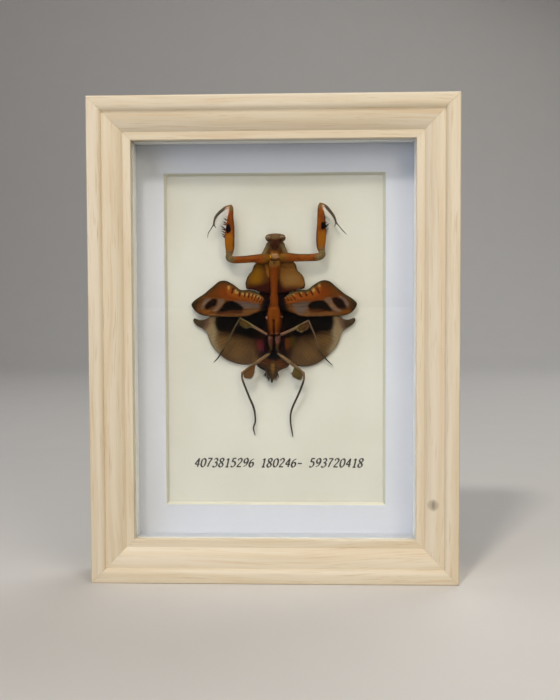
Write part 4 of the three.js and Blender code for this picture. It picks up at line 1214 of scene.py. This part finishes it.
# Leathery wing: thin dry membrane, parchment-like, satin, with fine veins and a dark rim
def wingMaterial(name, ground, marks, rimColour, rimWidth, veinColour):
    finish = {**chitin, "Roughness": membrane["roughness"], "Specular IOR Level": membrane["gloss"]}
    made, tree, shader = newMaterial(name, finish)
    place = placeOf(tree)
    speck = noiseAt(tree, place, 1.3, 4, 0.65)
    cloud = noiseAt(tree, place, 0.25, 3)
    colour = blended(tree, ranged(tree, cloud, 0.35, 0.65), *ground)
    colour = paintMarks(tree, colour, marks, speck)
    rim = addNode(tree, "Attribute", attribute_name="rim").outputs["Fac"]
    shaken = combined(tree, "ADD", rim, ranged(tree, speck, 0.3, 0.7, -0.3, 0.3))
    colour = blended(tree, ranged(tree, shaken, rimWidth * 1.6, rimWidth * 0.5, 0, 0.9), colour, rimColour)
    stretched = {"Vector": placeOf(tree, (0.8, 0.02, 1.5)), "Scale": 1.6}
    cells = addNode(tree, "TexVoronoi", stretched, feature="DISTANCE_TO_EDGE").outputs["Distance"]
    net = ranged(tree, cells, 0.02, 0.12, 1, 0)
    colour = blended(tree, combined(tree, "MULTIPLY", net, 0.3), colour, veinColour)
    darker = blended(tree, 0.5, colour, "#120a05")
    setColour(tree, shader, blended(tree, ranged(tree, speck, 0.5, 0.8, 0, 0.4), colour, darker))
    relief = combined(tree, "ADD", combined(tree, "MULTIPLY", net, 0.6), speck)
    setBump(tree, shader, relief, 0.06, 0.7)
    return made


def makeForewing(side):
    sign = sideSigns[side]
    marks = forewingMarks(side)
    lift = lambda x: 2.6 + 0.9 * np.exp(-x / 8)
    shell = leaf(
        forewing["outline"], 0.27,
        lambda x, z, e: lift(x) + 0.36 * np.clip(e / 0.6, 0, 1),
        lambda x, z, e: lift(x) - 0.06 * np.clip(e / 0.6, 0, 1))
    shell = carve(shell, [smoothLine(forewing["mainVein"], 6)], width=0.32, depth=-0.2)
    shell = carve(shell, [smoothLine(v, 5) for v in forewing["veins"]], width=0.16, depth=-0.08)
    shell = carve(shell, [[bar[:2], bar[2:4]] for bar in forewingSides[side]["bars"]], width=0.4, depth=-0.14)
    slants = [[(x, -14.6 + 0.12 * (x - 20)), (x + 1.6, -10.4 - 0.28 * max(x - 24, 0))]
              for x in np.arange(20.5, 31, 1.1)]
    points, faces = carve(shell, slants, width=0.14, depth=-0.05)
    edge = distanceTo(points[:, :2], closedLine(smoothLine(forewing["outline"], 8, closed=True)))
    points[:, 2] += swell(points * (1, 1, 0), 9, 0.14, 21 + sign) * np.clip(edge / 3, 0, 1)
    # the dark rim is on the upper and outer edge, so it fades below and towards the root
    fading = np.clip((-17.5 - points[:, 1]) * 0.7, 0, 3) + np.clip((8 - points[:, 0]) * 0.5, 0, 3)
    name = f"leathery forewing, {side}"
    look = wingMaterial(name, ("#5a3613", "#4d2c0f"), marks, "#332c19", 1.15, "#2b1a0e")
    shell = onSide(points, faces, sign)
    piece = insectPiece(f"forewing_{side}", shell, look, marks, sign)
    store(piece, "rim", edge + fading)


# Hindwings: a pleated fan from the root, with a net of veins
hindwing = {
    "outline": [
        (2.2, -22.6), (10.0, -20.4), (24.0, -20.4), (28.2, -23.0), (30.8, -24.8), (33.4, -25.2),
        (35.9, -24.4), (36.4, -25.5), (35.0, -27.5), (32.0, -29.3), (30.2, -31.2), (29.5, -33.4),
        (28.0, -36.8), (25.1, -40.2), (21.8, -43.3), (18.4, -45.4), (15.2, -46.3), (11.4, -46.3),
        (8.0, -45.2), (5.2, -42.8), (2.6, -39.6)],
    "leading": [[(4, -23.4), (12, -21.8), (24, -21.6), (33, -23.8)],
                [(4, -23.8), (14, -23.2), (25, -23.2), (32, -25.2)],
                [(4.2, -24.2), (14, -24.8), (24, -25.2), (31, -27.0)]],
    "root": (2.0, -24.0),
    "netField": [(13, -34.5), (19, -32.6), (24.5, -32), (26.5, -35), (24, -39.6), (19.5, -42.6), (14.5, -43),
                 (12, -39)],
    "pleats": 22,
    "raysPerPleat": 2.4,
    "fanFrom": -12,  # degrees from level, where the pleated fan begins and ends
    "fanTo": -88,
    "cellLength": 0.66,  # the real net is about 0.4 mm, drawn coarser to show
    "lift": {"left": 1.1, "right": 0.2},  # how much the fan is folded up at its lower edge
}
hindwingMarks = [
    newMark("lowerBrown", "#4c361f", 2.4, 1,
        [(7, -38.5), (14, -36), (22, -34), (28, -32), (31, -33), (29, -38), (22, -44), (14, -47.5),
         (7, -46.5)]),
    newMark("outerFade", "#84765a", 1.6, 0.8,
        [(26.4, -28), (31, -27), (31.6, -30), (30.4, -33), (28.4, -37.6), (25.6, -41), (24.2, -39.6),
         (26.2, -35.4)]),
    newMark("paleStrip", "#796548", 1.1, 0.9,
        [(26.7, -22.8), (29.4, -23.0), (29.7, -27), (29.4, -30.6), (28.6, -33.5), (27.6, -32), (27.2, -28)]),
    newMark("apexBase", "#593f31", 0.8, 0.9,
        [(29.4, -23.6), (32.4, -23.4), (32.6, -28), (31, -29.4), (29.8, -28.6)]),
    newMark("apex", "#3c3020", 0.7, 1,
        [(31.4, -23.4), (34.5, -23.4), (37.4, -24.4), (36, -28), (32.4, -29.2), (31.2, -26.4)]),
    newMark("blackField", "#050303", 1.1, 1,
        [(2, -21), (14, -19.5), (26.4, -20.5), (26.5, -26), (25.6, -29.6), (20, -31.0), (13, -32.6),
         (7, -35.5), (4, -41.5), (2, -41)]),
    newMark("nearBody", "#150703", 2.0, 0.95, [(2, -30), (9, -32), (8.5, -37), (6.5, -43), (2, -43)]),
]
hindwingPatches = {  # each a spot near the body and its colour
    "left": [("bodyPatch", "#5a1f1a", (6.6, -36.4), 1.2), ("bodyTint", "#3c0a2a", (5.0, -37.2), 0.9)],
    "right": [("bodyPatch", "#63330f", (5.8, -36.1), 1.2), ("bodyTint", "#43350a", (8.2, -35.0), 1.3)],
}


# Membrane: stiff dry film, dark and silky, with a net of golden veins that catch the light
def membraneMaterial(name, marks):
    finish = {**chitin, "Roughness": membrane["roughness"], "Specular IOR Level": membrane["gloss"]}
    made, tree, shader = newMaterial(name, finish)
    place = placeOf(tree)
    speck = noiseAt(tree, place, 1.2, 4, 0.65)
    cloud = noiseAt(tree, place, 0.2, 3)
    colour = blended(tree, ranged(tree, cloud, 0.35, 0.65), "#33210f", "#3d2a16")
    rimMarks = [mark for mark in marks if mark["name"] in ("paleStrip", "apexBase", "apex")]
    colour = paintMarks(tree, colour, [mark for mark in marks if mark not in rimMarks], speck)
    # the fan's X is the pleat's number and its Y the distance from the root
    fan = addNode(tree, "Attribute", attribute_name="fan").outputs["Vector"]
    parts = addNode(tree, "SeparateXYZ", {0: fan})
    finer = combined(tree, "MULTIPLY", parts.outputs["X"], hindwing["raysPerPleat"])
    ray = combined(tree, "PINGPONG", finer, 0.5)
    shake = ranged(tree, speck, 0.3, 0.7, -0.2, 0.2)
    steps = combined(tree, "MULTIPLY", parts.outputs["Y"], 1 / hindwing["cellLength"])
    cell = combined(tree, "ADD", steps, shake)
    cellMiddle = ranged(tree, combined(tree, "PINGPONG", cell, 0.5), 0.12, 0.4)
    net = combined(tree, "MULTIPLY", ranged(tree, ray, 0.1, 0.36), cellMiddle)  # pale window of each cell
    meshed = addNode(tree, "Attribute", attribute_name="netField").outputs["Fac"]
    patchy = ranged(tree, noiseAt(tree, place, 0.16, 2), 0.36, 0.6, 0.2, 1)
    amount = combined(tree, "MULTIPLY", net, ranged(tree, meshed, -1.5, 2.5, 0.03, 0.65))
    colour = blended(tree, combined(tree, "MULTIPLY", amount, patchy), colour, "#94713c")
    # painted shade along the valleys of the pleats, broken up in patches
    pleat = combined(tree, "PINGPONG", parts.outputs["X"], 0.5)
    broken = ranged(tree, noiseAt(tree, place, 0.3, 3), 0.45, 0.65, 0.0, 0.2)
    pleatValleyShade = combined(tree, "MULTIPLY", ranged(tree, pleat, 0.3, 0.5), broken)
    colour = blended(tree, pleatValleyShade, colour, "#0f0805")
    colour = paintMarks(tree, colour, rimMarks, speck)
    setColour(tree, shader, colour)
    setBump(tree, shader, combined(tree, "ADD", net, speck), 0.06, 0.6)
    return made


def makeHindwing(side):
    outline = [(x, z + hindwing["lift"][side] * np.clip((-38 - z) / 5, 0, 1) * np.clip((24 - x) / 6, 0, 1))
               for x, z in hindwing["outline"]]
    marks = list(hindwingMarks)
    for patchName, colour, (out, high), half in reversed(hindwingPatches[side]):
        patch = [(out + half * math.cos(a), high + 2.5 * math.sin(a)) for a in np.linspace(0, 5.6, 9)]
        marks.append(newMark(patchName, colour, 1.1, 0.85, patch))
    rootX, rootZ = hindwing["root"]
    fanFrom, fanTo = hindwing["fanFrom"], hindwing["fanTo"]

    def fanPlace(x, z):
        angle = np.degrees(np.arctan2(z - rootZ, x - rootX))
        share = np.clip((angle - fanFrom) / (fanTo - fanFrom), -0.5, 1)
        return share * hindwing["pleats"], np.hypot(x - rootX, z - rootZ)

    def surface(x, z):
        pleat, reach = fanPlace(x, z)
        depth = 0.05 * np.clip(reach / 18, 0, 1) * np.clip(pleat / 1.5, 0, 1)
        return 1.15 + 0.3 * np.exp(-((z + 25) ** 2) / 60) + depth * np.cos(pleat * 2 * math.pi)

    shell = leaf(
        outline, 0.3,
        lambda x, z, e: surface(x, z) + 0.09 * np.clip(e / 0.4, 0, 1),
        lambda x, z, e: surface(x, z) - 0.09 * np.clip(e / 0.4, 0, 1))
    shell = carve(shell, [smoothLine(v, 6) for v in hindwing["leading"]], width=0.2, depth=-0.12)
    pleat, reach = fanPlace(*shell[0][:, :2].T)
    look = membraneMaterial(f"wing membrane, {side}", marks)
    stored = [*marks, {"name": "netField", "outlines": [hindwing["netField"]]}]
    shell = onSide(*shell, sideSigns[side])
    piece = insectPiece(f"hindwing_{side}", shell, look, stored, sideSigns[side])
    store(piece, "fan", np.column_stack([pleat, reach, 0 * reach]))


for side in ("left", "right"):
    makeForewing(side)
    makeHindwing(side)
print("wings made")

# Grasping forelegs: stations are (x, z, h, radius)
forelegs = {
    "left": {
        "coxa": [(-2.8, 2.0, 5.3, 1.9), (-5.8, 1.9, 5.2, 2.2), (-9.1, 2.0, 5.1, 1.75), (-13.3, 1.7, 5.0, 1.6),
                 (-18.4, 1.6, 4.9, 1.6), (-20.1, 2.4, 4.9, 1.5), (-20.3, 4.0, 4.9, 1.3)],
        "femur": [(-20.3, 3.0, 4.8, 1.2), (-19.8, 6.0, 4.8, 1.9), (-19.8, 12.0, 4.8, 2.2),
                  (-19.5, 16.0, 4.8, 1.9), (-19.4, 20.5, 4.8, 1.35), (-19.1, 24.6, 4.8, 1.0),
                  (-19.3, 25.7, 4.8, 0.6)],
        "tibia": [(-19.3, 25.2, 4.8, 0.8), (-21.6, 24.5, 4.9, 0.75), (-24.0, 22.7, 4.9, 0.7),
                  (-25.9, 20.6, 4.7, 0.6), (-26.8, 18.2, 4.4, 0.4), (-26.9, 17.0, 4.2, 0.3)],
        "claw": [(-26.8, 17.5, 4.3, 0.35), (-26.5, 16.6, 4.2, 0.25), (-25.8, 15.7, 4.1, 0.08)],
        "foot": [(-26.9, 17.4, 4.2, 0.3), (-28.3, 15.2, 3.6, 0.2), (-29.5, 13.5, 2.8, 0.2),
                 (-29.9, 11.6, 2.0, 0.12)],
        "spines": [(-21.2, 19.1, -22.4, 19.9), (-21.2, 17.6, -22.8, 18.4), (-21.4, 17.0, -22.9, 17.4),
                   (-21.6, 15.0, -24.0, 16.6), (-21.7, 14.5, -23.7, 15.2), (-21.8, 13.5, -23.8, 14.3),
                   (-21.9, 12.4, -23.7, 13.2), (-22.0, 11.6, -23.3, 12.2)],
        "teeth": [(-20.1 - 0.14 * i, 24.4 - 0.62 * i) for i in range(8)],
        "marks": {
            "spot": [(-20.8, 17.3), (-19.8, 17.0), (-19.2, 15.4), (-19.5, 13.8), (-20.6, 13.3), (-21.5, 14.4),
                     (-21.6, 16.2)],
            "glow": [(-21.3, 12.6), (-18.4, 12.6), (-18.2, 6.0), (-20.4, 5.0), (-21.5, 9)],
            "elbow": [(-21.9, 0.2), (-18.6, 0.1), (-17.6, 2.6), (-19.0, 4.2), (-19.0, 5.6), (-21.6, 5.4),
                      (-22.2, 2.6)],
            "tip": [(-20.6, 26.6), (-17.6, 26.6), (-18.0, 23.4), (-20.0, 23.2)],
            "serration": [(-19.9, 25.0), (-19.8, 24.4), (-20.6, 21.0), (-22.0, 20.6), (-21.4, 24.6)],
            "shin": [(-21.0, 26.0), (-20.8, 24.2), (-24.4, 20.4), (-25.2, 16.0), (-26.0, 14.0), (-29.0, 10.0),
                     (-32.0, 10.0), (-28.0, 22.0)],
            "spineShade": [(-21.5, 20.4), (-21.7, 17.6), (-21.8, 16.0), (-22.1, 13.5), (-22.3, 11.0),
                           (-24.6, 11.0), (-24.9, 17.4), (-23.2, 20.6)],
            "topEdge": [(-16.0, 3.6), (-9.1, 3.75), (-5.8, 4.2), (-3.0, 4.0), (-3.0, 3.5), (-6.0, 3.5),
                        (-9.0, 3.15), (-16.0, 3.0)],
            "chestSide": [(-1.0, 4.4), (-4.0, 4.6), (-4.9, 2.4), (-4.4, -0.2), (-1.0, -0.2)],
            "backEdge": [(-17.6, 4.0), (-17.4, 12.0), (-17.4, 17.0), (-18.2, 24.0), (-18.7, 24.0),
                         (-18.3, 17.0), (-18.3, 6.0)],
        },
    },
    "right": {
        "coxa": [(3.1, 2.4, 5.3, 1.8), (6.0, 2.5, 5.2, 2.0), (10.5, 2.3, 5.1, 1.75), (16.0, 2.4, 5.0, 1.65),
                 (19.6, 2.7, 4.9, 1.7), (21.2, 3.6, 4.9, 1.5), (21.2, 5.0, 4.9, 1.3)],
        "femur": [(21.3, 4.2, 4.8, 1.2), (20.7, 7.0, 4.8, 1.9), (20.8, 12.5, 4.8, 2.2),
                  (20.9, 17.0, 4.8, 1.95), (20.7, 21.5, 4.8, 1.6), (20.5, 25.2, 4.8, 1.1),
                  (20.6, 26.3, 4.8, 0.6)],
        "tibia": [(20.6, 25.8, 4.8, 0.8), (22.6, 25.0, 4.9, 0.75), (24.8, 22.6, 4.9, 0.7),
                  (26.4, 20.4, 4.7, 0.6), (27.2, 18.6, 4.4, 0.4), (27.3, 17.6, 4.2, 0.3)],
        "claw": [(27.2, 18.2, 4.3, 0.35), (27.1, 17.0, 4.2, 0.25), (26.6, 15.9, 4.1, 0.08)],
        "foot": [(27.3, 18.0, 4.2, 0.3), (29.0, 15.9, 3.6, 0.2), (30.7, 14.0, 2.8, 0.2),
                 (32.1, 12.7, 2.0, 0.12)],
        "spines": [(22.2, 19.6, 23.1, 20.2), (22.3, 17.3, 23.6, 18.0), (22.5, 16.1, 24.8, 17.4),
                   (22.6, 15.4, 24.3, 16.5), (22.6, 14.4, 24.4, 15.2), (22.6, 13.4, 24.1, 14.3),
                   (22.6, 12.4, 23.8, 13.2)],
        "teeth": [(21.3 + 0.14 * i, 25.0 - 0.62 * i) for i in range(8)],
        "marks": {
            "spot": [(21.2, 17.8), (22.6, 17.6), (23.2, 16.4), (22.6, 15.0), (21.2, 14.8), (20.7, 16.2)],
            "glow": [(22.6, 13.6), (19.0, 13.4), (19.2, 7.4), (21.0, 5.6), (22.4, 10)],
            "elbow": [(18.8, 0.9), (21.8, 1.2), (23.2, 3.4), (22.6, 6.4), (20.2, 6.6), (19.4, 4.4),
                      (18.4, 3.4)],
            "tip": [(19.0, 27.2), (22.0, 27.2), (21.9, 24.6), (19.4, 24.2)],
            "serration": [(21.2, 25.6), (22.2, 25.4), (22.6, 23.0), (21.8, 23.0)],
            "shin": [(22.0, 27.0), (22.2, 24.6), (25.0, 20.6), (25.4, 17.0), (26.0, 14.0), (31.0, 10.0),
                     (34.0, 12.0), (28.6, 22.0)],
            "spineShade": [(22.3, 20.6), (22.6, 17.4), (23.0, 13.6), (23.1, 11.6), (24.8, 12.0), (25.4, 17.6),
                           (23.8, 20.6)],
            "topEdge": [(16.0, 4.4), (9.1, 4.3), (5.8, 4.6), (3.0, 4.4), (3.0, 3.9), (6.0, 3.95), (9.0, 3.6),
                        (16.0, 3.7)],
            "chestSide": [(1.0, 4.8), (4.9, 4.9), (5.8, 2.6), (4.8, 0.2), (1.0, 0.2)],
            "backEdge": [(18.2, 4.0), (18.4, 12.0), (18.6, 17.0), (18.9, 24.0), (19.6, 24.0), (19.4, 17.0),
                         (19.2, 6.0)],
        },
    },
}


forelegLooks = [  # colour, softness of the edge and strength, in the order of painting
    ("glow", "#86500a", 0.9, 0.85), ("topEdge", "#3c3a18", 0.25, 0.8), ("backEdge", "#4f2a0c", 0.25, 0.75),
    ("chestSide", "#64400f", 0.9, 0.85), ("elbow", "#665838", 1.3, 0.95), ("tip", "#6a5630", 0.7, 0.9),
    ("shin", "#4c4236", 0.3, 1.0), ("spineShade", "#0d0a08", 0.15, 1.0), ("serration", "#cf9f86", 0.25, 0.85),
    ("spot", "#040203", 0.25, 1.0)]


def spine(x0, z0, x1, z1, h, radius):
    middle = ((x0 + x1) / 2, (z0 + z1) / 2 + 0.12, h)
    return tube([(x0, z0, h, radius), (*middle, radius * 0.7), (x1, z1, h, 0.03)], 1, 8, 4)


def makeForeleg(side):
    leg = forelegs[side]
    sign = sideSigns[side]
    limbs = [tube(leg["coxa"], 0.65, 26), tube(leg["femur"], 0.5, 26), tube(leg["tibia"], 0.75, 18)]
    arm = fuse(limbs, voxel=0.13, smoothing=3)
    coxaLine = [s[:2] for s in leg["coxa"]][1:5]
    coxaEdges = [[(x, z + rise) for x, z in coxaLine] for rise in (0.9, -0.9)]
    arm = carve(arm, coxaEdges, width=0.22, depth=0.1)
    femurLine = [s[:2] for s in leg["femur"]][1:6]
    arm = carve(arm, [[(x - sign * 0.5, z) for x, z in femurLine]], width=0.3, depth=0.14)
    (elbowX, elbowZ), (foldX, foldZ) = leg["coxa"][-1][:2], leg["coxa"][4][:2]
    elbowFolds = [[(elbowX - 1.6, elbowZ + 0.3), (elbowX + 1.6, elbowZ + 0.9)],
                  [(foldX - sign * 0.2, foldZ + 1.8), (foldX + sign * 0.6, foldZ - 1.8)]]
    arm = carve(arm, elbowFolds, width=0.22, depth=0.28)
    arm = roughened(arm, size=1.3, amount=0.03, seed=31 + sign)
    small = [tube(leg["claw"], 1, 10), tube(leg["foot"], 1, 10)]
    small += [spine(*s, 4.9, 0.33) for s in leg["spines"]]
    small += [spine(x, z, x + sign * 0.55, z - 0.25, 5.0, 0.14) for x, z in leg["teeth"]]
    for x, z, h in smoothLine(leg["tibia"], 5)[6:22:2, :3]:
        small.append(spine(x - sign * 0.3, z - 0.2, x - sign * 0.75, z - 0.65, h, 0.1))
    marks = [newMark(*look, leg["marks"][look[0]]) for look in forelegLooks]
    look = cuticleMaterial(f"dried cuticle, foreleg {side}", "#7a3d0b", "#66310a", marks, 0.4)
    insectPiece(f"foreleg_{side}", joinShells([arm, *small]), look, marks)


# Walking legs: thigh, shin and foot, with a leaf-like lobe under the thigh
walkingKinds = {
    "midleg": {"colours": ("#7a6c46", "#64563a"), "lobeHeight": 5.3, "shadeFrom": -38.5},
    "hindleg": {"colours": ("#70583c", "#57442c"), "lobeHeight": 4.7, "shadeFrom": -52.0},
}
walkingLegs = {
    "midleg_left": {
        "thigh": [(-2.4, -32.2, 5.2, 0.6), (-8.6, -28.6, 5.6, 0.65), (-15.2, -24.4, 6, 0.5)],
        "shin": [(-15.2, -24.5, 6, 0.45), (-17.8, -28.6, 5.6, 0.4), (-20.1, -33.2, 4.8, 0.4),
                 (-22.0, -37.1, 3.8, 0.38), (-24.0, -40.0, 3, 0.35), (-25.8, -42.5, 2, 0.3),
                 (-27.5, -44.1, 1.2, 0.2)],
        "lobe": [(-10.6, -27.4), (-15.2, -24.8), (-15.7, -26.2), (-14.4, -27.9), (-12.6, -28.6),
                 (-11.2, -28.4)],
        "nearBody": [(-9.6, -24), (-8.0, -28), (-9.6, -33), (0, -36), (0, -28)],
        "lobeColour": "#4a3610",
        "shinColour": "#4a3f2a",
    },
    "midleg_right": {
        "thigh": [(1.9, -32.2, 5.2, 0.6), (8.6, -29.2, 5.6, 0.65), (15.0, -25.7, 6, 0.5)],
        "shin": [(15.0, -25.8, 6, 0.45), (17.0, -29.8, 5.6, 0.4), (18.5, -34.3, 4.8, 0.4),
                 (19.7, -38.2, 3.8, 0.38), (21.5, -41.2, 3, 0.35), (23.6, -43.6, 2, 0.3),
                 (25.6, -45.5, 1.2, 0.2)],
        "lobe": [(10.0, -28.8), (14.6, -26.2), (15.1, -27.6), (14.2, -29.4), (12.4, -30.3), (10.8, -29.9)],
        "nearBody": [(9.0, -24), (7.4, -28), (9.0, -33), (-0.6, -36), (-0.6, -28)],
        "lobeColour": "#43280a",
        "shinColour": "#5a4838",
    },
    "hindleg_left": {
        "thigh": [(-2.5, -40.2, 5.1, 0.65), (-8.6, -44.6, 5.3, 0.8), (-14.4, -48.8, 5.2, 0.65)],
        "shin": [(-14.5, -48.8, 5.2, 0.55), (-14.6, -51.0, 5, 0.5), (-13.5, -54.5, 4.6, 0.48),
                 (-11.5, -59.7, 3.8, 0.48), (-9.6, -64.7, 2.8, 0.48), (-9.1, -67.5, 2.2, 0.42),
                 (-9.0, -71.0, 1.6, 0.38), (-9.8, -74.2, 1.1, 0.33), (-9.2, -77.0, 0.9, 0.2)],
        "lobe": [(-8.9, -45.2), (-13.7, -48.4), (-13.6, -50.4), (-12.8, -51.2), (-10.4, -51.2),
                 (-9.0, -48.6)],
        "lobeColour": "#573404",
    },
    "hindleg_right": {
        "thigh": [(1.7, -40.2, 5.1, 0.65), (7.2, -44.4, 5.3, 0.8), (12.8, -48.9, 5.2, 0.65)],
        "shin": [(12.9, -48.9, 5.2, 0.55), (13.1, -51.0, 5, 0.5), (12.2, -54.4, 4.6, 0.48),
                 (10.0, -59.7, 3.8, 0.48), (7.8, -64.6, 2.8, 0.48), (7.0, -67.5, 2.2, 0.42),
                 (6.9, -71.2, 1.6, 0.38), (7.4, -74.8, 1.1, 0.33), (7.9, -77.7, 0.9, 0.2)],
        "lobe": [(8.9, -46.2), (12.0, -48.8), (12.3, -49.8), (11.9, -51.2), (11.2, -51.9), (8.6, -50.8),
                 (7.8, -49.2), (7.9, -48.2)],
        "lobeColour": "#463608",
    },
}


def makeWalkingLeg(name):
    leg = {**walkingKinds[name.split("_")[0]], **walkingLegs[name]}
    level = leg["lobeHeight"] + 0.35
    lobe = leaf(
        leg["lobe"], 0.25,
        lambda x, z, e: level + 0.3 * np.sin(np.clip(e / 0.9, 0, 1.57)),
        lambda x, z, e: level - 0.25 * np.sin(np.clip(e / 0.9, 0, 1.57)))
    knee = ball(*leg["shin"][0][:3], 0.62, 0.62, 0.62, 16, 10)
    parts = [tube(leg["thigh"], 0.85, 18), tube(leg["shin"], 1, 14), lobe, knee]
    limb = fuse(parts, voxel=0.115, smoothing=2)
    limb = carve(limb, [smoothLine(leg["thigh"], 6)[:, :2]], width=0.16, depth=0.12)
    limb = roughened(limb, size=0.9, amount=0.025, seed=len(name))
    shin = smoothLine(leg["shin"], 4)
    small = []
    for i in range(5, len(shin) - 3, 3):
        x, z, h, r = shin[i]
        side = 1 if i % 2 else -1
        small.append(spine(x, z, x + side * (r + 0.25), z - 0.45, h, 0.07))
    hem = smoothLine(leg["lobe"], 5, closed=True)
    centre = hem.mean(axis=0)
    for x, z in hem:
        away = np.array([x, z]) - centre
        awayX, awayZ = away / np.linalg.norm(away)
        if awayZ < 0.35:
            reach = chance.uniform(0.2, 0.95)
            small.append(spine(x - awayX * 0.3, z - awayZ * 0.3,
                               x + awayX * reach, z + awayZ * reach, level, 0.22))
    x, z, h, _ = shin[-1]
    small += [spine(x, z, x + side * 0.45, z - 0.45, h, 0.09) for side in (-1, 1)]
    below = [(x, leg["shadeFrom"]) for x in range(-40, 41, 4)] + [(40, -82), (0, -82), (-40, -82)]
    marks = [newMark("lobe", leg["lobeColour"], 0.25, 0.9, leg["lobe"]),
             newMark("shinShade", "#1f1a0e", 1.5, 0.9, below)]
    if "nearBody" in leg:
        kneeX = leg["shin"][0][0]
        beyond = [(kneeX * share, z) for share, z in ((1.04, -20), (2.2, -20), (2.2, -50), (1.04, -50))]
        marks.insert(0, newMark("shinTone", leg["shinColour"], 0.9, 1, beyond))
        marks.append(newMark("nearBody", "#66463a", 2.4, 0.8, leg["nearBody"]))
    look = cuticleMaterial(f"dried cuticle, {name}", *leg["colours"], marks, 0.45)
    insectPiece(name, joinShells([limb, *small]), look, marks)


for side in ("left", "right"):
    makeForeleg(side)
for name in walkingLegs:
    makeWalkingLeg(name)
print("legs made")

# Insect pin: black enamelled steel wire with a small turned head
pin = {
    "radius": 0.22,
    "headRadius": 0.42,
    "front": 7.1,
    "back": -4.3,
    "taper": 1.2,
    "headHeight": 0.65,
    "sides": 20,
}


def makePin():
    front, back, radius, wide = pin["front"], pin["back"], pin["radius"], pin["headRadius"]
    stations = [(back, 0.04), (back + pin["taper"], radius), (front, radius), (front + 0.1, wide),
                (front + 0.45, wide), (front + pin["headHeight"], 0.2)]
    sides, count = pin["sides"], len(stations)
    turn = np.linspace(0, 2 * math.pi, sides, endpoint=False)
    points = [(r * math.cos(a), r * math.sin(a), h) for h, r in stations for a in turn]
    faces = [(a, d, c, b) for a, b, c, d in ringFaces(count, sides)]
    faces += [tuple(range(sides))[::-1], tuple((count - 1) * sides + j for j in range(sides))]
    made, tree, shader = newMaterial("enamelled steel wire", {"Roughness": 0.3, "Metallic": 0.6})
    scratch = noiseAt(tree, placeOf(tree), 4, 3)
    setColour(tree, shader, blended(tree, scratch, "#141416", "#2a2a2c"))
    setBump(tree, shader, scratch, 0.01, 0.3)
    makePiece("mantis_pin", toWorld(np.array(points)), faces, made, ("insect_pin",), 40)


makePin()
print("pin made")
